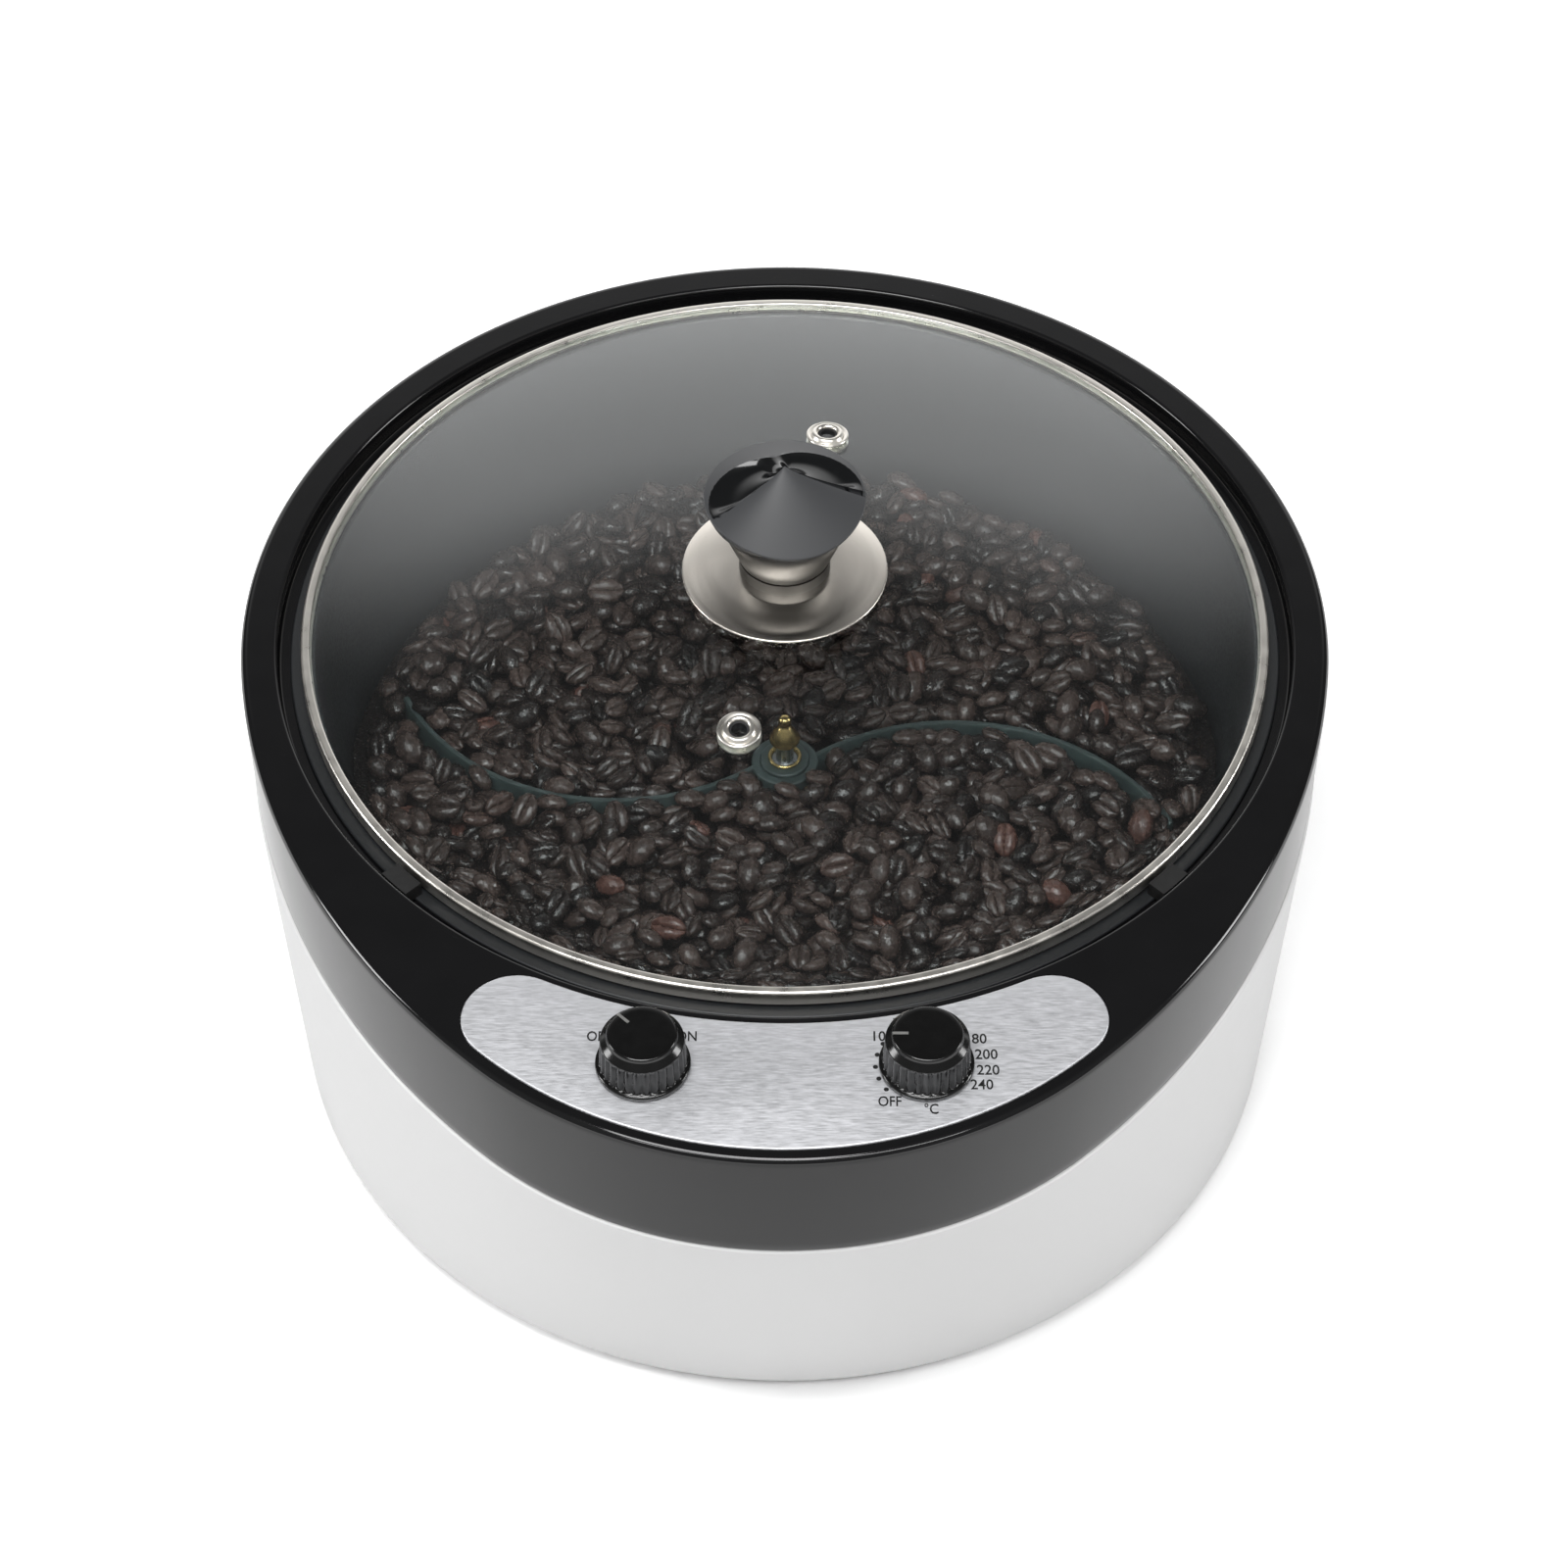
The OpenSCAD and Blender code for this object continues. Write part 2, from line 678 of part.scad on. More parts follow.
// Gear outline with tooth 0 on the angle 0
module gear_outline(teeth) {
    pitch_r = gear_module * teeth / 2;
    levels = [pitch_r - 1.2 * gear_module, pitch_r - 0.4 * gear_module, pitch_r, pitch_r + 0.8 * gear_module];
    function flank(r, side) = side * min(tooth_half(teeth, r), 90 / teeth * 1.25);
    polygon([for (i = [0:teeth - 1]) each concat(
        [for (r = levels) on_circle([0, 0], r, 360 * i / teeth + flank(r, -1))],
        [for (j = [3:-1:0]) on_circle([0, 0], levels[j], 360 * i / teeth + flank(levels[j], 1))])]);
}

module gear(teeth, z, h) translate([0, 0, z]) linear_extrude(h) gear_outline(teeth);

// Round-ended outline that covers both gear axes
module gearbox_outline(r) {
    circle(r = r);
    translate([gear_distance, 0]) circle(r = r);
    translate([0, -r]) square([gear_distance, 2 * r]);
}

// Copies at the gearbox's four fixing ears
module ears() for (x = [0, gear_distance], side = [-1, 1]) translate([x, side * ear_y, 0]) children();

// Slab of the gearbox with its ears
module gearbox_slab(z0, z1) {
    translate([0, 0, z0]) linear_extrude(z1 - z0) gearbox_outline(gearbox_r);
    ears() bar(ear_r, z0, z1);
}

module motor_case() color("silver") at_pan() difference() {
    bar(motor_r, motor_z, gearbox_z);
    bar(motor_r - motor_wall, motor_z + motor_wall, gearbox_z + 1);
    bar(pivot_r + run_fit, motor_z - 1, gearbox_z);
}

module stator_coil() color("chocolate") at_pan()
    tube(rotor_r + air_gap, coil_r, motor_z + motor_wall, gearbox_z - coil_drop);

module motor_rotor() color("dimgray") at_pan() {
    bar(rotor_r, motor_z + motor_wall + air_gap, gearbox_z - coil_drop - 1);
    bar(pivot_r, motor_z, gear1_z + 0.5);
    gear(pinion_teeth, gear1_z, gear1_t);
}

module gearbox_base() color("gainsboro") at_pan() difference() {
    gearbox_slab(gearbox_z, gearbox_z + gearbox_floor_t);
    bar(pivot_r + run_fit, gearbox_z - 1, gearbox_z + 3);
    translate([gear_distance, 0, 0]) bar(idler_pin_r + screw_fit, gearbox_z - 1, gearbox_z + 3);
    ears() bar(m3_r + screw_fit, gearbox_z - 1, gearbox_z + 3);
}

module gearbox_case() color("silver") at_pan() difference() {
    gearbox_slab(gearbox_z + gearbox_floor_t, gearbox_top_z);
    translate([0, 0, gearbox_z]) linear_extrude(gearbox_inner_top - gearbox_z) gearbox_outline(gear_room);
    bar(shaft_r + run_fit, gearbox_z, gearbox_top_z + 1);
    translate([gear_distance, 0, 0]) bar(idler_pin_r + screw_fit, gearbox_z, gearbox_top_z + 1);
    ears() bar(m3_r + screw_fit, gearbox_z, gearbox_top_z + 1);
}

module idler_pin() color("gray") at_pan() translate([gear_distance, 0, 0])
    bar(idler_pin_r, gearbox_z, gearbox_top_z);

module idler_gear() color("burlywood") at_pan() translate([gear_distance, 0, 0]) difference() {
    union() {
        rotate(180 / wheel_teeth) gear(wheel_teeth, gear1_z, gear1_t);
        gear(pinion_teeth, gear1_z + gear1_t - eps, gear2_z + gear2_t - gear1_z - gear1_t);
    }
    bar(idler_pin_r + run_fit, gear1_z - 1, gearbox_top_z);
}

module output_gear() color("khaki") at_pan() difference() {
    rotate(180 / wheel_teeth) gear(wheel_teeth, gear2_z, gear2_t);
    bar(shaft_r + screw_fit, gear2_z - 1, gearbox_top_z);
}

module gearbox_screws() color("gray") at_pan() ears() {
    screw_up(m3_r, m3_head_r, m3_head_h, gearbox_z, gearbox_top_z + bracket_t + 3);
    tube(m3_r + screw_fit, m3_head_r + 0.4, gearbox_top_z + bracket_t, gearbox_top_z + bracket_t + 2.4);
}

// Copies at the bracket's four fixing screws
module bracket_corners()
    for (x = [bracket_x0 + 8, bracket_x1 - 8], side = [-1, 1])
        translate([x, side * (bracket_y + bracket_flange / 2), 0]) children();

module motor_bracket() color("lightsteelblue") at_pan() difference() {
    union() {
        top_z = gearbox_top_z + bracket_t;
        length = bracket_x1 - bracket_x0;
        translate([bracket_x0, -bracket_y, gearbox_top_z]) cube([length, 2 * bracket_y, bracket_t]);
        for (side = [-1, 1]) {
            translate([bracket_x0, side * (bracket_y - bracket_t / 2) - bracket_t / 2, inside_z])
                cube([length, bracket_t, top_z - inside_z]);
            translate([bracket_x0, side * (bracket_y + bracket_flange / 2) - bracket_flange / 2, inside_z])
                cube([length, bracket_flange, bracket_t]);
        }
    }
    bar(shaft_r + 1, inside_z, gearbox_top_z + 5);
    ears() bar(m3_r + screw_fit, gearbox_z, gearbox_top_z + 5);
    translate([gear_distance, 0, 0]) bar(idler_pin_r + 1, gearbox_z, gearbox_top_z + 5);
    bracket_corners() bar(m3_r + screw_fit, 0, inside_z + 5);
}

module bracket_screws() color("gray") at_pan() bracket_corners()
    screw_down(m3_r, m3_head_r, m3_head_h, floor_z - 1, inside_z + bracket_t);

// ---- Stirrer --------------------------------------------------------------

module output_shaft() color("silver") at_pan() {
    bar(shaft_r, gear2_z - 0.3, hub_top_z);
    bar(stud_r, hub_top_z - eps, hub_top_z + hub_washer_t + stud_h);
}

module stirrer_hub() color([0.15, 0.15, 0.15]) at_pan() difference() {
    union() {
        bar(hub_skirt_r, hub_z, hub_z + hub_skirt_h);
        bar(hub_r, hub_z, hub_top_z);
    }
    bar(bush_r + air_gap, hub_z - 1, pan_floor_z + bush_rise + air_gap);
    bar(shaft_r + screw_fit, hub_z, hub_top_z + 1);
}

// Plan of both blade arms, grown by g on each side
module arms_plan(g) for (half = [0, 180]) rotate(half) intersection() {
    translate(blade_centre) difference() {
        circle(r = blade_curve_r + blade_t / 2 + g);
        circle(r = blade_curve_r - blade_t / 2 - g);
    }
    circle(r = blade_reach + g);
    translate([hub_r + 0.5, blade_centre[1]]) square([blade_reach, 2 * blade_reach]);
}

module blade_body(g) {
    bottom = hub_z + hub_skirt_h + seat_gap;
    intersection() {
        translate([0, 0, pan_floor_z]) linear_extrude(blade_gap + blade_h + g) arms_plan(g);
        difference() {
            rotate_extrude() polygon(pan_section(g - blade_gap, pan_top_z));
            bar(hub_skirt_r + seat_gap - g, 0, bottom - g);
        }
    }
    tube(hub_r + screw_fit - g / 2, hub_r + sleeve_t + g, bottom - g, pan_floor_z + blade_gap + blade_h + g);
}

module stirrer_blade() color([0.2, 0.2, 0.2]) at_pan() difference() {
    blade_body(0);
    bar(hub_r + screw_fit, hub_z, hub_top_z);
}

module hub_washer() color("goldenrod") at_pan()
    tube(stud_r + screw_fit, washer_r, hub_top_z, hub_top_z + hub_washer_t);

module hub_nut() color("gold") at_pan() difference() {
    z0 = hub_top_z + hub_washer_t;
    z1 = z0 + nut_body_h;
    z2 = z1 + nut_cone_h;
    rotate_extrude() polygon([
        [0, z0], [nut_r, z0], [nut_r, z1], [nut_stub_r + 0.5, z2],
        [nut_stub_r, z2], [nut_stub_r, z2 + nut_stub_h], [0, z2 + nut_stub_h]]);
    bar(stud_r + screw_fit, z0 - 1, z0 + stud_h + 0.5);
}

// The load of beans, heaped unevenly and open where the stirrer passes through it
module bean_charge() color([0.24, 0.15, 0.1]) at_pan() difference() {
    intersection() {
        rotate_extrude() polygon(pan_section(-seat_gap, pan_top_z));
        union() {
            bar(pan_r, pan_floor_z, pan_floor_z + bean_depth);
            bean_heaps();
        }
    }
    bar(hub_skirt_r + 1, pan_floor_z - 1, pan_floor_z + bean_depth + heap_h + 1);
    blade_slot();
}

// Rings of round heaps: each is the cap of a sunk ball, and every other one is lower
module bean_heaps() for (ring = [1:bean_rings], i = [0:6 * ring - 1])
    rotate(60 * i / ring + heap_turn * ring)
        translate([heap_step * ring, 0, pan_floor_z + bean_depth - heap_sink - heap_drop * (i % 2)])
            sphere(heap_ball_r);

// Room for the blade in the load of beans
module blade_slot() translate([0, 0, pan_floor_z - 1])
    linear_extrude(bean_depth + heap_h + 2) arms_plan(seat_gap);

// ---- Controls -------------------------------------------------------------

// Threaded neck of a control, with the running bore for its spindle
module control_body(z_low) difference() {
    union() {
        children();
        bar(bushing_r, deck_under_z - eps, plate_top_z + control_nut_h + 1);
    }
    bar(spindle_r + run_fit, z_low, plate_top_z + 10);
}

// Two flat terminals that hang down from a control's body
module control_tabs(z_top)
    for (x = [-tab_x, tab_x]) translate([x - 0.4, -3, z_top - tab_h]) cube([0.8, 6, tab_h]);

module power_switch() color("darkslategray") at_pan() translate([-knob_x, -knob_y, 0]) {
    control_body(switch_z + 3)
        translate([-switch_w / 2, switch_front_y + knob_y, switch_z])
            cube([switch_w, switch_back_y - switch_front_y, switch_h]);
    control_tabs(switch_z);
}

module thermostat() color("gray") at_pan() translate([knob_x, -knob_y, 0]) {
    control_body(thermostat_z + 3) bar(thermostat_r, thermostat_z, deck_under_z);
    control_tabs(thermostat_z);
}

module control_nuts() color("silver") at_pan() knob_places() difference() {
    translate([0, 0, plate_top_z]) cylinder(r = control_nut_r, h = control_nut_h, $fn = 6);
    bar(bushing_r + screw_fit, plate_top_z - 1, plate_top_z + control_nut_h + 1);
}

module spindle(z_low) bar(spindle_r, z_low + 0.5, spindle_top_z);

module switch_spindle() color("silver") at_pan() translate([-knob_x, -knob_y, 0])
    spindle(switch_z + 3);

module thermostat_spindle() color("silver") at_pan() translate([knob_x, -knob_y, 0])
    spindle(thermostat_z + 3);

// Fluted knob, its pointer at the back
module knob() difference() {
    top = knob_z + knob_h;
    rotate_extrude() polygon([
        [0, knob_z], [knob_r, knob_z], [knob_r, knob_z + knob_base_h],
        [knob_skirt_r, knob_z + knob_base_h + 0.4], [knob_skirt_r - 0.5, top - knob_crown_h],
        [knob_top_r + 0.3, top - 0.5], [knob_top_r - 0.4, top], [0, top]]);
    bar(knob_cavity_r, knob_z - 1, knob_z + knob_cavity_h);
    bar(spindle_r + screw_fit, knob_z, spindle_top_z + 0.2);
    for (i = [0:flute_count - 1]) rotate(360 * (i + 0.5) / flute_count)
        translate([knob_skirt_r + 0.35, 0, 0]) bar(0.8, knob_z + knob_base_h + 0.4, top - knob_crown_h);
    tick(0.05);
}

// Pointer strip let into the top of a knob, grown by g
module tick(g) translate([-tick_w / 2 - g, knob_top_r - 0.6 - tick_l - g, knob_z + knob_h - tick_h - g])
    cube([tick_w + 2 * g, tick_l + 2 * g, tick_h + (g > 0 ? 1 : 0)]);

// A control's turning parts at rest: x side and the pointer's angle to the left of the back
module knob_at(side, angle) translate([side * knob_x, -knob_y, 0]) rotate(angle) children();

module power_knob() color([0.1, 0.1, 0.1]) at_pan() knob_at(-1, power_rest_angle) knob();
module power_knob_pointer() color("white") at_pan() knob_at(-1, power_rest_angle) tick(0);
module thermostat_knob() color([0.1, 0.1, 0.1]) at_pan() knob_at(1, thermostat_rest_angle) knob();
module thermostat_knob_pointer() color("white") at_pan() knob_at(1, thermostat_rest_angle) tick(0);

// ---- Lid ------------------------------------------------------------------

// Height of the glass dome's upper face at radius r
function dome_z(r) = glass_top_z - dome_radius + sqrt(pow(dome_radius, 2) - r * r);

// Half section of the glass; its edge is a flat land that sits in the rim
module glass_section() {
    rs = [for (i = [0:12]) dome_r * i / 12];
    polygon(concat(
        [for (r = rs) [r, dome_z(r)]],
        [[glass_r, glass_edge_z + glass_t], [glass_r, glass_edge_z]],
        [for (i = [12:-1:0]) [rs[i], dome_z(rs[i]) - glass_t]]));
}

// Upright axis through each steam vent, square to the glass
module vent_axes() for (half = [0, 180]) rotate(vent_angle + half)
    translate([vent_circle_r, 0, dome_z(vent_circle_r)])
        rotate([0, asin(vent_circle_r / dome_radius), 0]) children();

module lid_glass() color([0.7, 0.8, 0.85, 0.35]) at_pan() difference() {
    rotate_extrude() glass_section();
    vent_axes() cylinder(r = vent_tube_r + screw_fit, h = 4 * glass_t, center = true);
    bar(lid_screw_r + screw_fit, glass_top_z - 2 * glass_t, glass_top_z + 1);
}

module lid_rim() color("silver") at_pan() {
    tube(rim_r - rim_t, rim_r, rim_z, rim_z + rim_h);
    tube(dome_r, rim_r - eps, rim_z, rim_z + rim_t);
    tube(dome_r + 0.6, rim_r - eps, rim_z + rim_h - rim_t, rim_z + rim_h);
}

module lid_gasket() color("darkgray") at_pan() tube(pan_r + 0.8, rim_r - 0.2, gasket_z, rim_z);

module vent_grommets() color("silver") at_pan() vent_axes() difference() {
    union() {
        translate([0, 0, -glass_t - vent_flange_t])
            cylinder(r = vent_tube_r, h = glass_t + 2 * vent_flange_t);
        translate([0, 0, 0.1]) cylinder(r = vent_flange_r, h = vent_flange_t);
        translate([0, 0, -glass_t - 0.1 - vent_flange_t]) cylinder(r = vent_flange_r, h = vent_flange_t);
    }
    cylinder(r = vent_bore_r, h = 6 * glass_t, center = true);
}

module lid_knob_washer() color("dimgray") at_pan()
    tube(lid_screw_r + screw_fit, neck_r, glass_top_z, knob_plate_z);

// Radius and fall of the dished knob plate at share s of the way out to its edge
function plate_curve(s) = [neck_r + (knob_plate_r - neck_r) * s, -knob_plate_drop * s * s];

module lid_knob_plate() color("silver") at_pan() rotate_extrude() polygon(concat(
    [[lid_screw_r + screw_fit, knob_plate_z], [lid_screw_r + screw_fit, neck_z]],
    [for (i = [0:6]) [0, neck_z] + plate_curve(i / 6)],
    [for (i = [6:-1:0]) [0, knob_plate_z] + plate_curve(i / 6)]));

module lid_knob_neck() color("silver") at_pan() difference() {
    rotate_extrude() polygon([
        [0, neck_z], [neck_r, neck_z], [neck_r, neck_z + collar_h],
        [neck_r - groove_depth, neck_z + collar_h],
        [neck_r - groove_depth, neck_z + collar_h + groove_h],
        [neck_r, neck_z + collar_h + groove_h],
        [neck_top_r, cap_z], [0, cap_z]]);
    bar(lid_screw_r + screw_fit, neck_z - 1, neck_z + lid_screw_grip + seat_gap);
}

// Cap: a low cone with three hollows scooped out between three ridges
petal_angles = [155, 55, 287];
scoop_r = 24;
scoop_out = cap_r + 0.5;
scoop_up = cap_h + 14;
cap_edge_h = 1.2;
module lid_knob_cap() color([0.1, 0.1, 0.1]) at_pan() difference() {
    rotate_extrude() polygon(concat(
        [[0, cap_z], [cap_r - 0.8, cap_z], [cap_r, cap_z + cap_edge_h]],
        [for (i = [1:6]) [cap_r * cos(15 * i), cap_z + cap_edge_h + (cap_h - cap_edge_h) * sin(15 * i)]]));
    for (a = petal_angles) rotate(a) translate([scoop_out, 0, cap_z + scoop_up]) sphere(r = scoop_r);
}

module lid_knob_screw() color("gray") at_pan()
    screw_up(lid_screw_r, 2 * lid_screw_r, 2.4, glass_top_z - glass_t - 0.2, neck_z + lid_screw_grip);

// ---- Wiring ---------------------------------------------------------------

// Axis of the gland, pointing out of the back of the shell
module gland_axis() translate([0, back_r, gland_z]) rotate([-90, 0, 0]) children();

// Radius of the shell's outer face at the back, at height z
function shell_back_r(z) =
    foot_ring_r + (back_r - seam_step() - foot_ring_r) * (z - foot_h) / shell_h;

module cable_gland() color("black") at_pan() difference() {
    out = shell_back_r(gland_z + gland_flange_r) - back_r;
    gland_axis() {
        translate([0, 0, out]) cylinder(r = gland_flange_r, h = gland_flange_t);
        translate([0, 0, out - gland_grip]) cylinder(r = gland_r, h = gland_grip + eps);
        translate([0, 0, out - gland_grip]) cylinder(r = gland_flange_r, h = gland_nut_t);
    }
    gland_axis() cylinder(r = gland_bore_r, h = 40, center = true);
}

// Direction from a to b
function unit(v) = v / norm(v);

// Route with each corner turned through a curve that starts d before it
function eased(route, d) = concat(
    [route[0]],
    [for (i = [1:len(route) - 2])
        let (
            p = route[i],
            a = p + unit(route[i - 1] - p) * min(d, norm(route[i - 1] - p) * 0.45),
            b = p + unit(route[i + 1] - p) * min(d, norm(route[i + 1] - p) * 0.45)
        )
        each [for (t = [0:0.25:1]) (1 - t) * (1 - t) * a + 2 * t * (1 - t) * p + t * t * b]],
    [route[len(route) - 1]]);

// Direction of travel at point i of a path
function heading(path, i) = unit(path[min(i + 1, len(path) - 1)] - path[max(i - 1, 0)]);

// Sideways direction at each point, carried along the path without twist
function side_dirs(path, i = 0, last = [0.31, 0.87, 0.39]) =
    i == len(path) ? []
    : let (t = heading(path, i), u = unit(last - (last * t) * t))
      concat([u], side_dirs(path, i + 1, u));

// Round tube swept along a path
module swept_tube(path, r, sides = 8) {
    us = side_dirs(path);
    n = len(path);
    polyhedron(
        points = [for (i = [0:n - 1]) let (t = heading(path, i), u = us[i], v = cross(t, u))
            for (k = [0:sides - 1]) path[i] + r * (u * cos(360 * k / sides) + v * sin(360 * k / sides))],
        faces = concat(
            [[for (k = [0:sides - 1]) k]],
            [for (i = [0:n - 2]) for (k = [0:sides - 1])
                let (q = (k + 1) % sides)
                each [[i * sides + k, (i + 1) * sides + k, (i + 1) * sides + q],
                      [i * sides + k, (i + 1) * sides + q, i * sides + q]]],
            [[for (k = [sides - 1:-1:0]) (n - 1) * sides + k]]));
}

module thermostat_bulb() color("peru") at_pan() {
    riser = on_circle([0, 0], riser_r, riser_angle);
    end_y = -knob_y + thermostat_r * 0.4;
    translate([-bulb_half, bulb_y, bulb_z]) rotate([0, 90, 0]) cylinder(r = bulb_r, h = 2 * bulb_half);
    swept_tube(eased([
        [bulb_half - 1, bulb_y, bulb_z], [capillary_x, bulb_y, bulb_z],
        [capillary_x, bulb_y, capillary_z], [capillary_x, (bulb_y + riser[1]) / 2, capillary_z],
        concat(riser, capillary_z), concat(riser, seam_z + 4),
        [knob_x, end_y, seam_z + 8], [knob_x, end_y, thermostat_z - seat_gap]], 6), capillary_r);
}

module thermal_fuse() color("ivory") at_pan() translate([fuse_at[0], fuse_at[1], shield_z]) {
    translate([-fuse_l / 2, 0, -fuse_r - 1]) rotate([0, 90, 0]) cylinder(r = fuse_r, h = fuse_l);
    translate([-3, -3, -fuse_r - 1]) cube([6, 6, fuse_r + 1]);
}

module terminal_block() color("whitesmoke") at_pan()
    translate([block_at[0] - block_size[0] / 2, block_at[1] - block_size[1] / 2, inside_z]) difference() {
        cube(block_size);
        for (i = [0:3])
            translate([terminal_pitch * (i + 0.5), block_size[1] / 2, block_size[2] - terminal_depth])
                cylinder(r = terminal_r, h = terminal_depth + 1);
    }

module terminal_screws() color("goldenrod") at_pan()
    for (i = [0:3]) translate(block_end(i, inside_z + block_size[2] - terminal_depth))
        cylinder(r = terminal_r - 2 * screw_fit, h = terminal_depth - 1);

// Ends of the wires, just clear of the terminals that they serve
wire_r = 1.2;
block_end_z = inside_z + block_size[2] - 1 + seat_gap;
wire_z = inside_z + 25;
high_wire_z = wire_z + 5;
switch_end_z = switch_z - tab_h - seat_gap;
thermostat_end_z = thermostat_z - tab_h - seat_gap;
leg_x = element_r * sin(element_gap_angle / 2);
leg_y = element_r * cos(element_gap_angle / 2);
leg_end_z = shield_z - leg_drop - seat_gap;
fuse_z = shield_z - fuse_r - 1;
fuse_end = fuse_l / 2 + seat_gap;
motor_end = [-motor_r - seat_gap, 0, motor_z + 9];

// Point above screw i of the terminal block
function block_end(i, z) = [block_at[0] + terminal_pitch * (i - 1.5), block_at[1], z];

// Both ends and the corners of each wire
wire_routes = [
    // terminal block to power switch
    [block_end(0, block_end_z), block_end(0, wire_z), [-118, 20, wire_z], [-118, -40, wire_z],
        [-60, -118, wire_z], [-41.5, -131, wire_z], [-41.5, -131, seam_z + 2],
        [-knob_x - tab_x, -knob_y, seam_z + 6], [-knob_x - tab_x, -knob_y, switch_end_z]],
    // power switch to thermostat
    [[-knob_x + tab_x, -knob_y, switch_end_z], [-knob_x + tab_x, -knob_y, seam_z + 6],
        [knob_x - tab_x, -knob_y, seam_z + 6], [knob_x - tab_x, -knob_y, thermostat_end_z]],
    // thermostat to the right leg of the heating element
    [[knob_x + tab_x, -knob_y, thermostat_end_z], [knob_x + tab_x, -knob_y, seam_z + 5],
        [52, -128, seam_z + 2], [52, -128, high_wire_z], [100, -60, high_wire_z],
        [105, 20, high_wire_z], [60, 66, high_wire_z], [leg_x, leg_y, high_wire_z],
        [leg_x, leg_y, leg_end_z]],
    // terminal block to fuse
    [block_end(1, block_end_z), block_end(1, wire_z), [-58, 76, fuse_z - 10],
        [-64, fuse_at[1] + 4, fuse_z - 2], [-64, fuse_at[1], fuse_z],
        [fuse_at[0] - fuse_end, fuse_at[1], fuse_z]],
    // fuse to the left leg of the heating element
    [[fuse_at[0] + fuse_end, fuse_at[1], fuse_z], [-42, fuse_at[1], fuse_z],
        [-leg_x, 58, fuse_z - 14], [-leg_x, leg_y, fuse_z - 16], [-leg_x, leg_y, leg_end_z]],
    // terminal block to motor
    [block_end(2, block_end_z), block_end(2, wire_z), [-46, 10, wire_z - 8],
        motor_end - [12, 0, 0], motor_end],
    // terminal block to the gland in the back
    [block_end(3, block_end_z), block_end(3, wire_z), [-10, 112, gland_z], [0, 124, gland_z],
        [0, base_r - 6, gland_z]]
];

module wire_harness() color("firebrick") at_pan()
    for (route = wire_routes) swept_tube(eased(route, 6), wire_r);

// ---- Drawing --------------------------------------------------------------

lower_shell();
base_plate();
feet();
foot_screws();
tie_bolts();
top_ring();
control_plate();
roasting_pan();
pan_clips();
heat_shield();
shield_posts();
shield_screws();
heating_element();
element_saddles();
element_bushes();
motor_case();
stator_coil();
gearbox_base();
gearbox_case();
gearbox_screws();
idler_pin();
motor_bracket();
bracket_screws();
shaft_bush();
power_switch();
thermostat();
control_nuts();
thermostat_bulb();
thermal_fuse();
terminal_block();
terminal_screws();
wire_harness();
cable_gland();
lid_glass();
lid_rim();
lid_gasket();
vent_grommets();
lid_knob_plate();
lid_knob_neck();
lid_knob_cap();
lid_knob_screw();
lid_knob_washer();
output_gear();
output_shaft();
stirrer_hub();
stirrer_blade();
hub_washer();
hub_nut();
bean_charge();
idler_gear();
motor_rotor();
power_knob();
power_knob_pointer();
switch_spindle();
thermostat_knob();
thermostat_knob_pointer();
thermostat_spindle();
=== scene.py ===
"""Home coffee bean roaster: the finished skins, glass lid, knobs, stirrer and beans,
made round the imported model, with a plain pale stage. Sizes in the code are in
millimetres and become metres when a mesh is made."""

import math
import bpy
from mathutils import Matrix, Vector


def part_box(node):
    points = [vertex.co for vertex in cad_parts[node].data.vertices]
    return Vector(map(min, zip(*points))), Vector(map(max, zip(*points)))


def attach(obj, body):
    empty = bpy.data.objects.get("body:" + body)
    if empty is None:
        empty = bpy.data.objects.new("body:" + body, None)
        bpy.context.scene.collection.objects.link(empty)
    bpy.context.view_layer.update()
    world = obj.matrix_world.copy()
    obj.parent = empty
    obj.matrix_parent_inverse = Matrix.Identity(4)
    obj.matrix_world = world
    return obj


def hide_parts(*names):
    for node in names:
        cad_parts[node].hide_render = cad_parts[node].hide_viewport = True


bl_info = {
    "name": "Coffee bean roaster",
    "version": (1, 0, 0),
    "blender": (4, 5, 0),
    "location": "3D View > Sidebar > Roaster",
    "description": "Builds the roaster's finished pieces round its packed model",
    "category": "Add Mesh",
}

import bmesh
import bpy
import numpy as np
from bpy.props import FloatProperty, FloatVectorProperty, IntProperty, PointerProperty
from mathutils import Vector

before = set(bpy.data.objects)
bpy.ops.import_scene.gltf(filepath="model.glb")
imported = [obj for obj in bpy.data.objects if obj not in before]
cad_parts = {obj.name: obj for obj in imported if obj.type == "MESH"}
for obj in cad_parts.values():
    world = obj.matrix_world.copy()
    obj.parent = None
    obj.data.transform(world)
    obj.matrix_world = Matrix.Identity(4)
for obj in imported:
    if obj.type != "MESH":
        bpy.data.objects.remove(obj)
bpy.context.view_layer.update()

MM = 0.001
TAU = 2 * math.pi


def level(node, top=True):
    """Height in mm of a CAD node's highest or lowest point."""
    return float(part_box(node)[1 if top else 0][2]) / MM


# The pan axis, in mm from the middle of the outline
PAN_Y = float(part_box("lid_rim")[0][1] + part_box("lid_rim")[1][1]) / 2 / MM

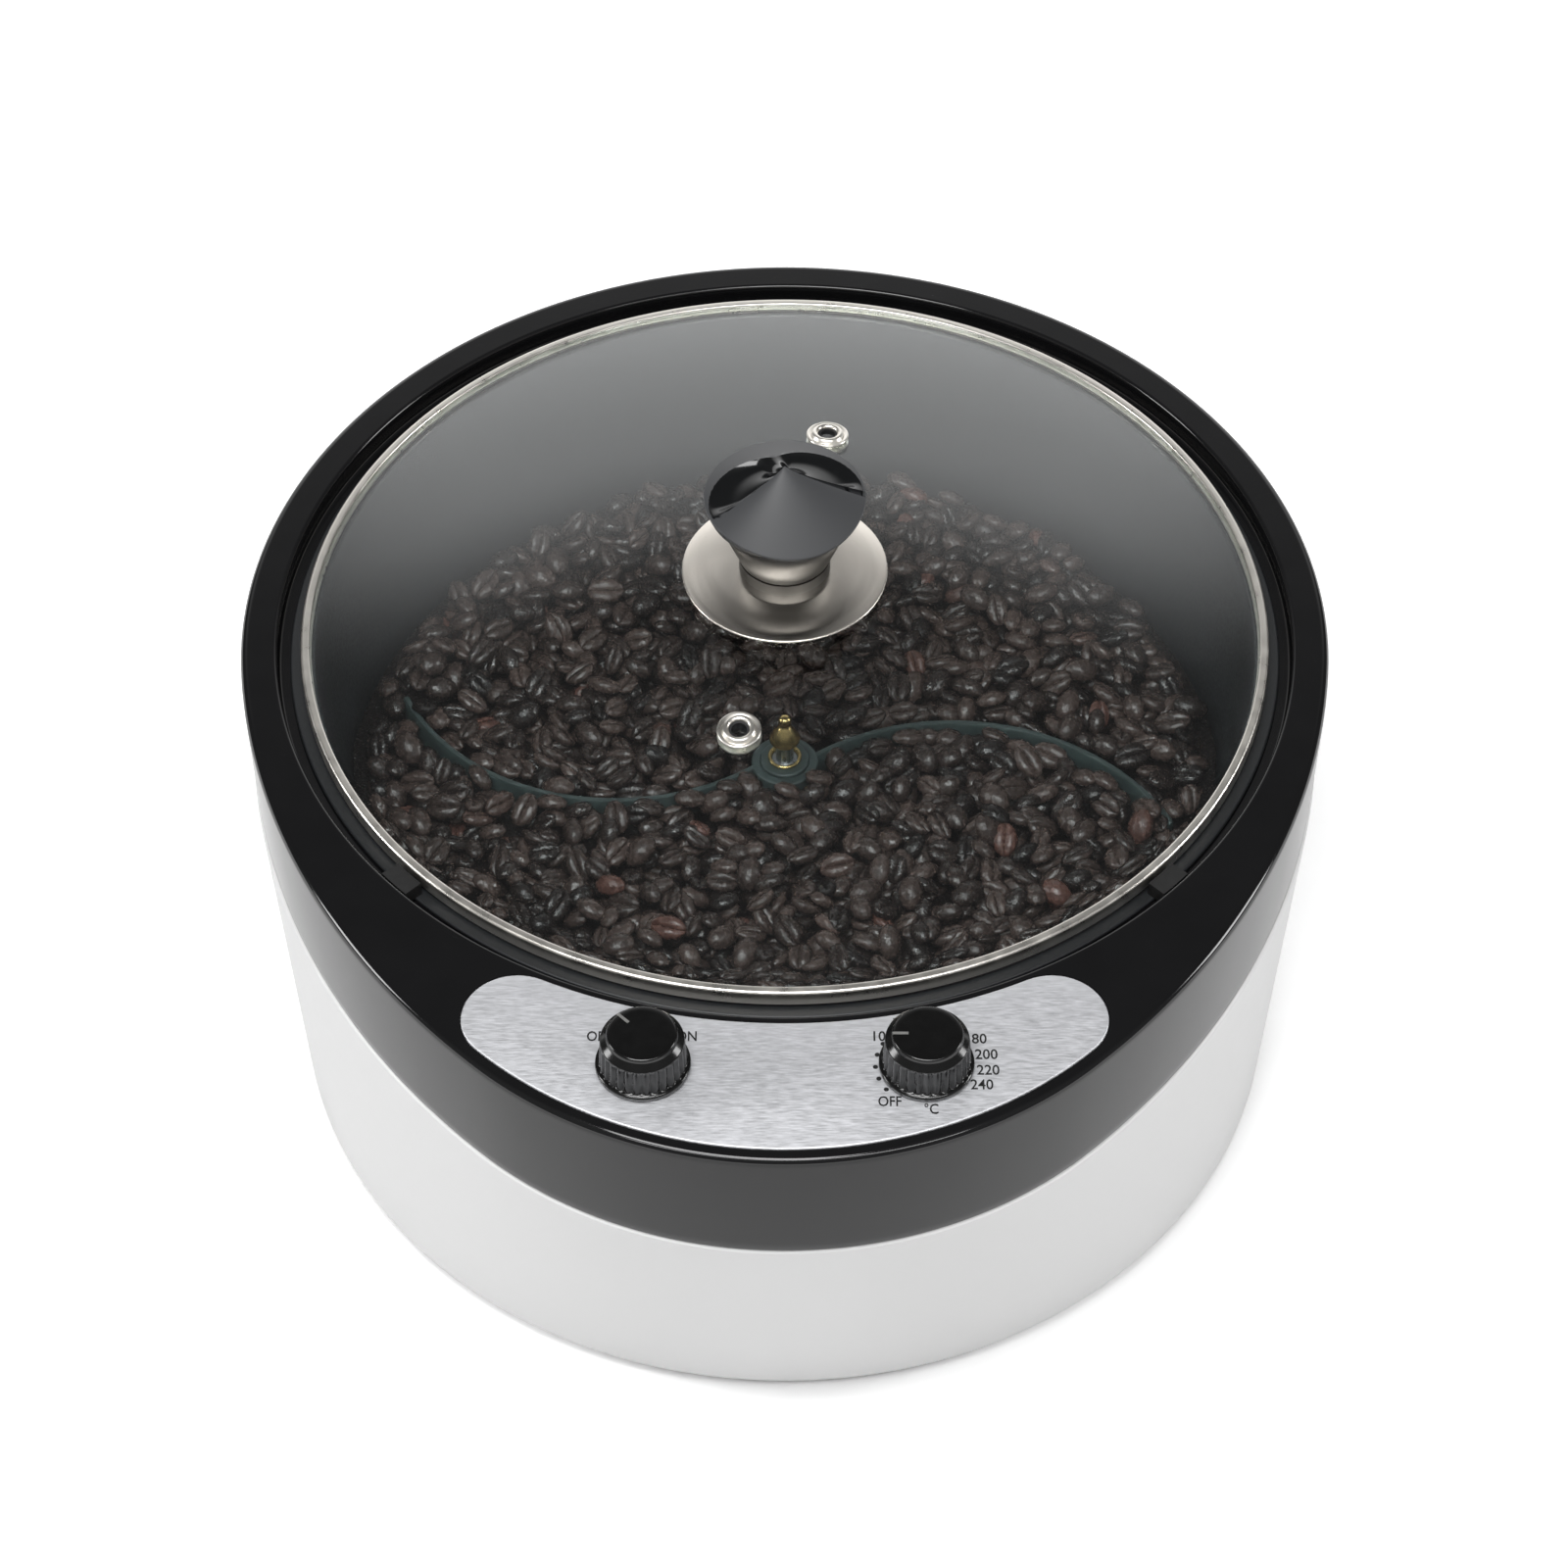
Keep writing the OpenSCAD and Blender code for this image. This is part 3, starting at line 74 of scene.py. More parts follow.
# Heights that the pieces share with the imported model
BAND_H = 38
PAN_SHEET = 1.2
BLADE_SHOWS = 4
DECK_Z = level("lower_shell") + BAND_H
SEAM_Z = level("lower_shell")
FOOT_Z = level("lower_shell", top=False)
PAN_TOP_Z = level("roasting_pan")
LEDGE_Z = PAN_TOP_Z - PAN_SHEET
PAN_FLOOR_Z = level("roasting_pan", top=False) + PAN_SHEET
PLATE_Z = level("control_plate")
BED_Z = level("stirrer_blade") - BLADE_SHOWS
RIM_Z0, RIM_Z1 = level("lid_rim", top=False), level("lid_rim")
HUB_TOP_Z = level("stirrer_hub")

# Plan of the housing: back, side and front arcs that touch
BACK_R = 149.5
SIDE_R = 222.0
FRONT_R = 115.4
FRONT_OFFSET = 70.2
SIDE_CY = ((SIDE_R - FRONT_R) ** 2 - (SIDE_R - BACK_R) ** 2 - FRONT_OFFSET**2) / (2 * FRONT_OFFSET)
SIDE_CX = math.sqrt((SIDE_R - BACK_R) ** 2 - SIDE_CY**2)
BACK_JOIN = math.degrees(math.atan2(-SIDE_CY, SIDE_CX))
FRONT_JOIN = math.degrees(math.atan2(-FRONT_OFFSET - SIDE_CY, SIDE_CX))
RECESS_R = 139.6
LEDGE_R = 131.5
FOOT_RING_R = 144.3
RIM_R = 133.0
OUTLINE_POINTS = 360

# Control plate and knobs
PLATE_INNER_R = 141.8
PLATE_OUTER_R = 111.6
PLATE_END_R = 14.0
PLATE_T = 1.5
KNOB_X = 35.5
KNOB_Y = -155.5
POWER_ANGLE = 45.0
THERMOSTAT_ANGLE = 90.0

# Pan inside and stirrer arms
PAN_WALL_R = 126.0
PAN_MOUTH_R = 129.0
PAN_CORNER_R = 20.0
SLEEVE_Z = PAN_FLOOR_Z + 8.8
ARM_CENTRE = np.array([48.0, -52.0])
ARM_R = 67.0
ARM_REACH = 112.0
ARM_T = 2.0

# Dome of the glass lid
GLASS_R = 131.9
DOME_R = 129.9
DOME_H = 20.5
GLASS_T = 3.0
DOME_RADIUS = (DOME_R**2 + DOME_H**2) / (2 * DOME_H)
GLASS_TOP_Z = level("lid_glass")


# ---- Colours and nodes ------------------------------------------------------


def linear(code):
    """Linear RGBA of an sRGB hex code."""
    channels = [int(code[i : i + 2], 16) / 255 for i in (0, 2, 4)]
    return tuple(
        c / 12.92 if c <= 0.04045 else ((c + 0.055) / 1.055) ** 2.4 for c in channels
    ) + (1.0,)


def new_material(name):
    """An empty node material and its tree."""
    made = bpy.data.materials.new(name)
    made.use_nodes = True
    made.node_tree.nodes.clear()
    return made, made.node_tree


def add(tree, kind, inputs=None, **settings):
    """Add a shader node; settings are its properties, inputs its values or the sockets that
    feed it."""
    made = tree.nodes.new("ShaderNode" + kind)
    for key, value in settings.items():
        setattr(made, key, value)
    for key, value in (inputs or {}).items():
        if isinstance(value, bpy.types.NodeSocket):
            tree.links.new(value, made.inputs[key])
        else:
            made.inputs[key].default_value = value
    return made


def blend(tree, share, low, high, kind="MIX"):
    """Colour from low to high by share."""
    inputs = {0: share, 6: low, 7: high}
    return add(tree, "Mix", inputs, data_type="RGBA", blend_type=kind).outputs[2]


def remap(tree, value, start, end, low=0.0, high=1.0, kind="LINEAR"):
    """A value's range from start to end, carried onto low to high and clamped."""
    inputs = {"Value": value, "From Min": start, "From Max": end, "To Min": low, "To Max": high}
    return add(tree, "MapRange", inputs, interpolation_type=kind).outputs[0]


def maths(tree, operation, a, b):
    """Two values put together by an operation."""
    return add(tree, "Math", {0: a, 1: b}, operation=operation).outputs[0]


def object_place(tree):
    """The Object coordinates."""
    return add(tree, "TexCoord").outputs["Object"]


def own(tree, name):
    """A piece's own attribute."""
    return add(tree, "Attribute", attribute_name=name).outputs["Fac"]


def bumps(tree, height, depth, strength):
    """Normal of a surface that a height pattern raises by up to depth in mm."""
    inputs = {"Height": height, "Distance": depth * MM, "Strength": strength}
    return add(tree, "Bump", inputs).outputs["Normal"]


def surface(tree, shader):
    """Show a shader as the material's surface."""
    add(tree, "OutputMaterial", {"Surface": shader.outputs[0]})


def coat(name, colour, roughness, metallic, grain, shade, polish, depth,
         cells=False, satin_sheen=None, worn_colour=None, **sockets):
    """A material whose colour, roughness and height follow one pattern, of noise or of cells.
    grain is the pattern's size in mm, one number or one for each axis, shade and polish are how
    much it changes the colour and the roughness, and depth is its height in mm. The two arguments
    after cells are the roughness, and a colour that paints a sheen, where the piece's own
    attribute named like the first of them is 1. Other sockets are set on the shader itself."""
    made, tree = new_material(name)
    sizes = grain if isinstance(grain, tuple) else (grain,) * 3
    scale = [1 / (g * MM) for g in sizes]
    spot = add(tree, "Mapping", {"Vector": object_place(tree), "Scale": scale}).outputs["Vector"]
    if cells:
        tone = add(tree, "TexVoronoi", {"Vector": spot, "Scale": 1.0}).outputs["Distance"]
    else:
        tone = add(tree, "TexNoise", {"Vector": spot, "Scale": 1.0, "Detail": 4.0}).outputs["Fac"]
    base = linear(colour) if isinstance(colour, str) else tuple(colour)
    dark = tuple(c * (1 - shade) for c in base[:3]) + (1.0,)
    light = tuple(min(1.0, c * (1 + shade)) for c in base[:3]) + (1.0,)
    paint = blend(tree, tone, dark, light)
    gloss = remap(tree, tone, 0.3, 0.7, roughness * (1 - polish), roughness * (1 + polish))
    if satin_sheen:
        # Painted sheen: a grey colour, with a satin roughness, where the piece's attribute is 1.
        sheen_area = own(tree, "satin_sheen")
        gloss = add(tree, "Mix", {0: sheen_area, 2: gloss, 3: satin_sheen}).outputs[0]
        paint = blend(tree, sheen_area, paint, linear(worn_colour))
    inputs = {"Base Color": paint, "Roughness": gloss, "Metallic": metallic}
    if depth:
        inputs["Normal"] = bumps(tree, tone, depth, 1.0)
    if sockets.get("Anisotropic"):
        turned = add(tree, "Tangent", direction_type="RADIAL", axis="Z")
        inputs["Tangent"] = turned.outputs["Tangent"]
    surface(tree, add(tree, "BsdfPrincipled", {**inputs, **sockets}))
    return made


def glass(name, colour):
    """Toughened soda-lime glass, pressed and clear: it bends light and mirrors the room at a
    slant. Lamp rays pass straight through, so what lies under it is lit."""
    made, tree = new_material(name)
    inputs = {"Base Color": tuple(colour), "Roughness": 0.0, "IOR": 1.52}
    body = add(tree, "BsdfPrincipled", {**inputs, "Transmission Weight": 1.0})
    clear = add(tree, "BsdfTransparent", {"Color": linear("F4F7F7")})
    lamp_ray = add(tree, "LightPath").outputs["Is Shadow Ray"]
    surface(tree, add(tree, "MixShader", {0: lamp_ray, 1: body.outputs[0], 2: clear.outputs[0]}))
    return made


def roasted(name, dark, light, red):
    """Roasted coffee: dark brown skins that differ from bean to bean, a few redder and paler,
    with a dull oily sheen and fine wrinkles. The bean's own tone is an attribute."""
    made, tree = new_material(name)
    tone = own(tree, "tone")
    noise = {"Vector": object_place(tree), "Scale": 1 / (1.4 * MM), "Detail": 3.0}
    wrinkle = add(tree, "TexNoise", noise).outputs["Fac"]
    brown = blend(tree, tone, tuple(dark), tuple(light))
    brown = blend(tree, remap(tree, tone, 0.97, 0.99), brown, linear(red))
    mottle = remap(tree, wrinkle, 0.0, 1.0, 0.45, 1.55)
    inputs = {
        "Base Color": blend(tree, 1.0, brown, mottle, "MULTIPLY"),
        "Roughness": remap(tree, wrinkle, 0.0, 1.0, 0.15, 0.38),
        "Normal": bumps(tree, wrinkle, 0.35, 0.8),
        "IOR": 1.47,
    }
    surface(tree, add(tree, "BsdfPrincipled", inputs))
    return made


# Every finish, made once and kept by name
FINISHES = {}
TURNED = (40, 40, 0.3)


def make_finishes(scene):
    """Make the material of each finish of the object."""
    housing, lid, beans = scene.roaster_housing, scene.roaster_lid, scene.roaster_beans
    # name, colour, roughness, metallic, grain in mm, shade, polish, depth in mm, the rest
    coats = (
        # moulded ABS, satin: an even white with a soft sheen
        ("white_abs", housing.shell_colour, 0.34, 0.0, 6, 0.012, 0.08, 0.004, {}),
        # moulded ABS, polished: near black, mirrors the room sharply, a little uneven
        ("black_abs", housing.ring_colour, 0.085, 0.0, 14, 0.2, 0.2, 0.02, {}),
        # phenolic, moulded: black with a softer gloss, on the knobs
        ("black_phenolic", "0B0B0B", 0.16, 0.0, 3, 0.2, 0.2, 0.003, {}),
        # phenolic, moulded: glossy in the finger hollows of the lid knob, satin elsewhere, where
        # its grey colour is a painted sheen
        ("satin_phenolic", "101112", 0.12, 0.0, 2, 0.2, 0.15, 0.0,
         {"satin_sheen": 0.48, "worn_colour": "3A3B3D"}),
        # black nylon, moulded: dull black small pieces
        ("black_nylon", "121212", 0.5, 0.0, 1.2, 0.2, 0.1, 0.02, {}),
        # stainless steel sheet, brushed along X: long fine grain, drawn coarser than it is
        ("brushed_steel", housing.plate_colour, 0.56, 1.0, (3, 0.4, 3), 0.24, 0.15, 0.014, {}),
        # stainless steel, turned and polished: warm grey, light and dark wedges round the axis
        ("turned_steel", "E9E3DA", 0.24, 1.0, TURNED, 0.03, 0.1, 0.0, {"Anisotropic": 0.85}),
        # the same steel on the neck, with its colour darkened: painted shade for the dark pan and
        # glass that the neck mirrors
        ("turned_steel_painted_shade", "6A6967", 0.34, 1.0, TURNED, 0.08, 0.15, 0.0, {"Anisotropic": 0.8}),
        # stainless steel, rolled and polished: the bright bead round the lid and the vents
        ("bright_steel", "F2EEE6", 0.32, 1.0, 5, 0.04, 0.2, 0.0, {}),
        # aluminium with a sprayed non-stick coat: charcoal, dull with a fine speckle
        ("non_stick", "1E2022", 0.42, 0.0, 0.9, 0.25, 0.15, 0.01, {}),
        # the same coat on the stirrer, a little greener and smoother
        ("coated_blade", "2C3534", 0.34, 0.0, 0.9, 0.2, 0.15, 0.008, {}),
        # brass, turned: yellow with a bright edge
        ("turned_brass", "DCC184", 0.22, 1.0, (30, 30, 0.25), 0.05, 0.15, 0.004, {}),
        # silicone rubber, moulded: soft dark grey
        ("silicone", "1B1B1C", 0.6, 0.0, 1.5, 0.15, 0.1, 0.01, {}),
        # nitrile rubber, moulded: matt near-black feet
        ("foot_rubber", "141414", 0.8, 0.0, 0.8, 0.25, 0.1, 0.02, {}),
        # galvanised sheet steel: grey spangles
        ("galvanised", "A9ABAC", 0.38, 1.0, 7, 0.14, 0.25, 0.0, {"cells": True}),
        # zinc-plated screws: pale grey, finely mottled
        ("zinc", "B9BBBD", 0.3, 1.0, 1.5, 0.1, 0.2, 0.0, {}),
        # sintered bronze: brown metal with fine pores
        ("bronze", "9A7443", 0.42, 1.0, 0.5, 0.25, 0.1, 0.02, {"cells": True}),
        # enamelled copper wire, wound: orange-brown with fine turns
        ("copper_wire", "B4633A", 0.3, 1.0, (30, 30, 0.5), 0.35, 0.1, 0.1, {}),
        # drawn copper tube: soft red metal
        ("copper_tube", "B87650", 0.28, 1.0, (4, 1, 1), 0.12, 0.2, 0.0, {}),
        # acetal, machined: creamy white gears
        ("acetal", "E4DECB", 0.38, 0.0, 2, 0.03, 0.1, 0.004, {}),
        # steel sheath, heat stained: dark with brown patches
        ("stained_steel", "4A4442", 0.45, 1.0, 8, 0.35, 0.2, 0.0, {}),
        # sintered ferrite: charcoal and gritty
        ("ferrite", "2B2B2D", 0.7, 0.0, 0.6, 0.25, 0.1, 0.03, {}),
        # glazed ceramic: off-white with a gloss
        ("ceramic", "E6E1D3", 0.18, 0.0, 3, 0.03, 0.1, 0.005, {}),
        # natural nylon: milky white
        ("nylon", "DDDCD2", 0.45, 0.0, 2, 0.04, 0.1, 0.006, {}),
        # silicone-insulated wire: dull red
        ("red_wire", "8E1F1A", 0.5, 0.0, 3, 0.12, 0.1, 0.01, {}),
        # hot-stamped foil: bright pointer lines
        ("foil", "E9E9E6", 0.3, 1.0, 0.4, 0.06, 0.1, 0.0, {}),
        # screen-printed ink: flat black
        ("ink", "0B0B0C", 0.55, 0.0, 0.5, 0.2, 0.1, 0.0, {}),
    )
    for name, *values, rest in coats:
        FINISHES[name] = coat(name, *values, **rest)
    FINISHES["clear_glass"] = glass("clear_glass", lid.glass_colour)
    FINISHES["roasted_beans"] = roasted(
        "roasted_beans", beans.dark_colour, beans.light_colour, "47302A"
    )


# ---- Surfaces ---------------------------------------------------------------


def skin(rows, tube=False):
    """Closed skin over rows of points. rows is an array of row, point, xyz in mm; each row is a
    ring, and with tube the last row joins the first. Without it the end rows are filled.
    Returns points and faces that point outwards, by the sign of the enclosed volume."""
    rows = np.asarray(rows, float)
    count, around = rows.shape[:2]
    index = np.arange(count * around).reshape(count, around)
    low = index if tube else index[:-1]
    high = np.roll(index, -1, axis=0) if tube else index[1:]
    quads = np.stack(
        [low, np.roll(low, -1, axis=1), np.roll(high, -1, axis=1), high], axis=-1
    ).reshape(-1, 4)
    points = rows.reshape(-1, 3)
    a, b, c, d = (points[quads[:, k]] for k in range(4))
    volume = np.einsum("ij,ij->", np.cross(a, b), c) + np.einsum("ij,ij->", np.cross(a, c), d)
    faces = quads.tolist()
    if not tube:
        faces += [index[0][::-1].tolist(), index[-1].tolist()]
        for row, sign in ((rows[0], -1), (rows[-1], 1)):
            middle = row.mean(axis=0)
            step = np.roll(row, -1, axis=0)
            volume += sign * np.einsum("ij,ij->", np.cross(row, step), middle[None] + 0 * row)
    if volume < 0:
        faces = [face[::-1] for face in faces]
    return points, faces


def lathe(profile, around=180, centre=(0.0, 0.0), tube=False):
    """Skin of a turned piece: profile is rows of radius and height, carried round an upright
    axis at centre. x = r cos a, y = r sin a. A radius of 0 closes the piece at a pole."""
    profile = np.asarray(profile, float)
    a = np.arange(around) * TAU / around
    r, z = profile[:, 0][:, None], profile[:, 1][:, None]
    rows = np.stack(
        [centre[0] + r * np.cos(a), centre[1] + r * np.sin(a), np.repeat(z, around, axis=1)],
        axis=-1,
    )
    return skin(rows, tube=tube)


def bend(centre, radius, start, end, steps=6):
    """Quarter or other arc of a profile: centre plus radius times cos and sin of the angle."""
    a = np.radians(np.linspace(start, end, steps + 1))
    return np.stack([centre[0] + radius * np.cos(a), centre[1] + radius * np.sin(a)], axis=-1)


def profile(*parts):
    """One profile from single points and arcs, in order."""
    return np.concatenate([np.atleast_2d(np.asarray(p, float)) for p in parts])


def joined(shells):
    """Several skins as one set of points and faces."""
    points, faces, start = [], [], 0
    for pts, fcs in shells:
        points.append(np.asarray(pts, float))
        faces += [[i + start for i in face] for face in fcs]
        start += len(pts)
    return np.concatenate(points), faces


def put(name, shell):
    """A new object in the scene with a skin as its mesh; points are given from the pan axis."""
    points, faces = shell
    mesh = bpy.data.meshes.new(name)
    placed = np.asarray(points, float) + np.array([0.0, PAN_Y, 0.0])
    mesh.from_pydata((placed * MM).tolist(), [], faces)
    made = bpy.data.objects.new(name, mesh)
    bpy.context.scene.collection.objects.link(made)
    return made


def smooth(mesh, sharp):
    """Shade a mesh smoothly, with edges bent by more than sharp degrees drawn crisp."""
    mesh.polygons.foreach_set("use_smooth", np.ones(len(mesh.polygons), bool))
    mesh.set_sharp_from_angle(angle=math.radians(sharp))


def piece(name, shell, finish_name, body, replaces=(), sharp=38.0):
    """Put a skin into the scene as a finished piece that rides on a CAD body. Points closer than
    a micron are merged, and edges bent by more than sharp degrees are drawn crisp."""
    made = put(name, shell)
    mesh = made.data
    clean = bmesh.new()
    clean.from_mesh(mesh)
    bmesh.ops.remove_doubles(clean, verts=clean.verts, dist=1e-6)
    bmesh.ops.dissolve_degenerate(clean, edges=clean.edges, dist=1e-7)
    clean.to_mesh(mesh)
    clean.free()
    mesh.materials.append(FINISHES[finish_name])
    smooth(mesh, sharp)
    mesh.update()
    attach(made, body)
    if replaces:
        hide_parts(*replaces)
    return made


def points_of(mesh):
    """A mesh's points in mm."""
    points = np.empty(len(mesh.vertices) * 3)
    mesh.vertices.foreach_get("co", points)
    return points.reshape(-1, 3) / MM


def mark(made, attribute, values):
    """Give each point of a piece its value of an attribute."""
    values = np.asarray(values, np.float32)
    if len(values) != len(made.data.vertices):
        raise RuntimeError(f"the values of {attribute} don't match the points of {made.name}")
    made.data.attributes.new(attribute, "FLOAT", "POINT").data.foreach_set("value", values)


def cut(target, shell):
    """Take a skin's volume out of a piece, and keep the result as the piece's own mesh."""
    fewest_faces, sharp = 10, 30
    cutter = put("cutter", shell)
    change = target.modifiers.new("cut", "BOOLEAN")
    change.operation = "DIFFERENCE"
    change.solver = "EXACT"
    change.object = cutter
    graph = bpy.context.evaluated_depsgraph_get()
    result = bpy.data.meshes.new_from_object(target.evaluated_get(graph))
    if len(result.polygons) < fewest_faces:
        raise RuntimeError(f"the cut in {target.name} left nothing")
    target.modifiers.clear()
    target.data = result
    bpy.data.objects.remove(cutter)
    smooth(result, sharp)


def egg(inset, height):
    """Ring of points on the deck outline drawn in by inset: each point lies in the outward
    direction a, on the back, side, front or other side arc, whichever faces that way."""
    deg = np.arange(OUTLINE_POINTS) * 360.0 / OUTLINE_POINTS
    a = np.radians(deg)
    centre_x = np.zeros_like(deg)
    centre_y = np.zeros_like(deg)
    radius = np.full_like(deg, BACK_R)
    left_side = (deg >= 180 - BACK_JOIN) & (deg < 180 - FRONT_JOIN)
    front = (deg >= 180 - FRONT_JOIN) & (deg < 360 + FRONT_JOIN)
    right_side = (deg >= 360 + FRONT_JOIN) & (deg < 360 + BACK_JOIN)
    for where, cx, cy, r in (
        (left_side, SIDE_CX, SIDE_CY, SIDE_R),
        (front, 0.0, -FRONT_OFFSET, FRONT_R),
        (right_side, -SIDE_CX, SIDE_CY, SIDE_R),
    ):
        centre_x[where], centre_y[where], radius[where] = cx, cy, r
    return np.stack(
        [
            centre_x + (radius - inset) * np.cos(a),
            centre_y + (radius - inset) * np.sin(a),
            np.full_like(a, height),
        ],
        axis=-1,
    )


def ring(radius, height):
    """Ring of as many points on a circle round the pan axis."""
    a = np.arange(OUTLINE_POINTS) * TAU / OUTLINE_POINTS
    return np.stack(
        [radius * np.cos(a), radius * np.sin(a), np.full_like(a, height)], axis=-1
    )


def plate_outline(grow, height, ends=24):
    """Ring of points on the control plate's outline: a front arc, a round end, the back arc
    and the other round end, all grown by grow."""
    reach = PLATE_INNER_R + PLATE_END_R
    inner = PLATE_OUTER_R - PLATE_END_R
    ey = -(reach**2 - inner**2 + FRONT_OFFSET**2) / (2 * FRONT_OFFSET)
    ex = math.sqrt(reach**2 - ey**2)
    out_a = math.degrees(math.atan2(ey + FRONT_OFFSET, ex))
    in_a = math.degrees(math.atan2(ey, ex))
    parts = [
        bend((0, -FRONT_OFFSET), PLATE_OUTER_R + grow, -180 - out_a, out_a, 90),
        bend((ex, ey), PLATE_END_R + grow, out_a, in_a + 180, ends)[1:],
        bend((0, 0), PLATE_INNER_R - grow, in_a, -180 - in_a, 60)[1:],
        bend((-ex, ey), PLATE_END_R + grow, -in_a, 180 - out_a, ends)[1:-1],
    ]
    flat = np.concatenate(parts)
    return np.column_stack([flat, np.full(len(flat), height)])


# ---- Settings ---------------------------------------------------------------


class HousingSettings(bpy.types.PropertyGroup):
    """Sizes and colours of the housing."""

    shell_colour: FloatVectorProperty(
        name="Shell colour", description="Colour of the white shell", subtype="COLOR", size=4,
        min=0, max=1, default=linear("DDDDDD"),
    )
    ring_colour: FloatVectorProperty(
        name="Deck colour", description="Colour of the black deck and band", subtype="COLOR",
        size=4, min=0, max=1, default=linear("111112"),
    )
    plate_colour: FloatVectorProperty(
        name="Plate colour", description="Colour of the brushed control plate", subtype="COLOR",
        size=4, min=0, max=1, default=linear("E0E1E4"),
    )
    edge: FloatProperty(
        name="Deck edge", description="Radius of the deck's rounded outer edge",
        unit="LENGTH", default=0.002, min=0.001, max=0.0024,
    )
    seam: FloatProperty(
        name="Seam", description="Gap between the shell and the band", unit="LENGTH",
        default=0.0005, min=0.0002, max=0.001,
    )


class ControlSettings(bpy.types.PropertyGroup):
    """Sizes of the knobs and the dial print."""

    flutes: IntProperty(
        name="Flutes", description="Number of flutes round a knob", default=28, min=18, max=36
    )
    flute_depth: FloatProperty(
        name="Flute depth", description="Depth of a flute", unit="LENGTH", default=0.0006,
        min=0.0003, max=0.001,
    )
    digit_height: FloatProperty(
        name="Digit height", description="Height of the dial's figures", unit="LENGTH",
        default=0.0032, min=0.002, max=0.004,
    )


class LidSettings(bpy.types.PropertyGroup):
    """Look of the lid."""

    glass_colour: FloatVectorProperty(
        name="Glass colour", description="Tint of the lid's glass", subtype="COLOR", size=4,
        min=0, max=1, default=linear("F1F5F5"),
    )
    bead: FloatProperty(
        name="Rim bead", description="Radius of the lid rim's rolled edge", unit="LENGTH",
        default=0.0009, min=0.0004, max=0.0015,
    )


class BeanSettings(bpy.types.PropertyGroup):
    """Size and number of the beans."""

    count: IntProperty(
        name="Beans", description="Number of beans in the pan", default=2500, min=200, max=3000
    )
    length: FloatProperty(
        name="Bean length", description="Mean length of a bean", unit="LENGTH", default=0.0095,
        min=0.008, max=0.014,
    )
    dark_colour: FloatVectorProperty(
        name="Dark roast", description="Colour of the darkest beans", subtype="COLOR", size=4,
        min=0, max=1, default=linear("14100F"),
    )
    light_colour: FloatVectorProperty(
        name="Light roast", description="Colour of the palest beans", subtype="COLOR", size=4,
        min=0, max=1, default=linear("3B302C"),
    )
    seed: IntProperty(name="Seed", description="Order of the random draws", default=7)


class StageSettings(bpy.types.PropertyGroup):
    """Lights and floor."""

    light: FloatProperty(
        name="Light", description="Share of the lamps' usual radiance", default=1.0, min=0
    )
    floor_size: FloatProperty(
        name="Floor size", description="Width of the floor", unit="LENGTH", default=12.0, min=2
    )


# ---- Housing ----------------------------------------------------------------


class ROASTER_OT_deck_ring(bpy.types.Operator):
    """Black ring: deck, band, lid recess and ledge"""

    bl_idname = "roaster.deck_ring"
    bl_label = "Deck ring"

    def execute(self, context):
        edge = context.scene.roaster_housing.edge / MM
        wall, lip, lip_t, skirt = 2.5, 3.94, 1.5, 3
        drawn = 0.6  # how far the band's foot is drawn in, so that the shell's lip shows
        under = DECK_Z - wall
        turn = np.radians(np.linspace(0, 90, 9))
        outer = [egg(edge * (1 - math.cos(t)), DECK_Z - edge + edge * math.sin(t)) for t in turn]
        groove = bend((RECESS_R + 0.8, DECK_Z - 0.8), 0.8, 90, 180, 5)
        heel = bend((RECESS_R - 1.0, LEDGE_Z + 1.0), 1.0, 0, -90, 4)
        rows = (
            [egg(drawn + 0.5, SEAM_Z), egg(drawn + 0.1, SEAM_Z + 0.12), egg(drawn, SEAM_Z + 0.5)]
            + [egg(0.9 * drawn, SEAM_Z + 3), egg(0.0, DECK_Z - edge - 1)]
            + outer
            + [egg(edge + 0.25, DECK_Z), ring(RECESS_R + 1.1, DECK_Z)]
            + [ring(r, z) for r, z in groove]
            + [ring(RECESS_R, DECK_Z - 1.4), ring(RECESS_R, LEDGE_Z + 1.6)]
            + [ring(r, z) for r, z in heel]
            + [ring(LEDGE_R, LEDGE_Z), ring(LEDGE_R, LEDGE_Z - wall)]
            + [ring(RECESS_R + wall, LEDGE_Z - wall), ring(RECESS_R + wall, under)]
            + [egg(wall, under), egg(wall, SEAM_Z + wall), egg(lip + lip_t, SEAM_Z + wall)]
            + [egg(lip + lip_t, SEAM_Z - skirt), egg(lip, SEAM_Z - skirt), egg(lip, SEAM_Z)]
        )
        made = piece(
            "deck_ring", skin(rows, tube=True), "black_abs", "housing", ("top_ring",)
        )
        gap = 0.22
        bottom = PLATE_Z - PLATE_T
        cut(made, skin([plate_outline(gap, bottom), plate_outline(gap, DECK_Z + 3)]))
        return {"FINISHED"}


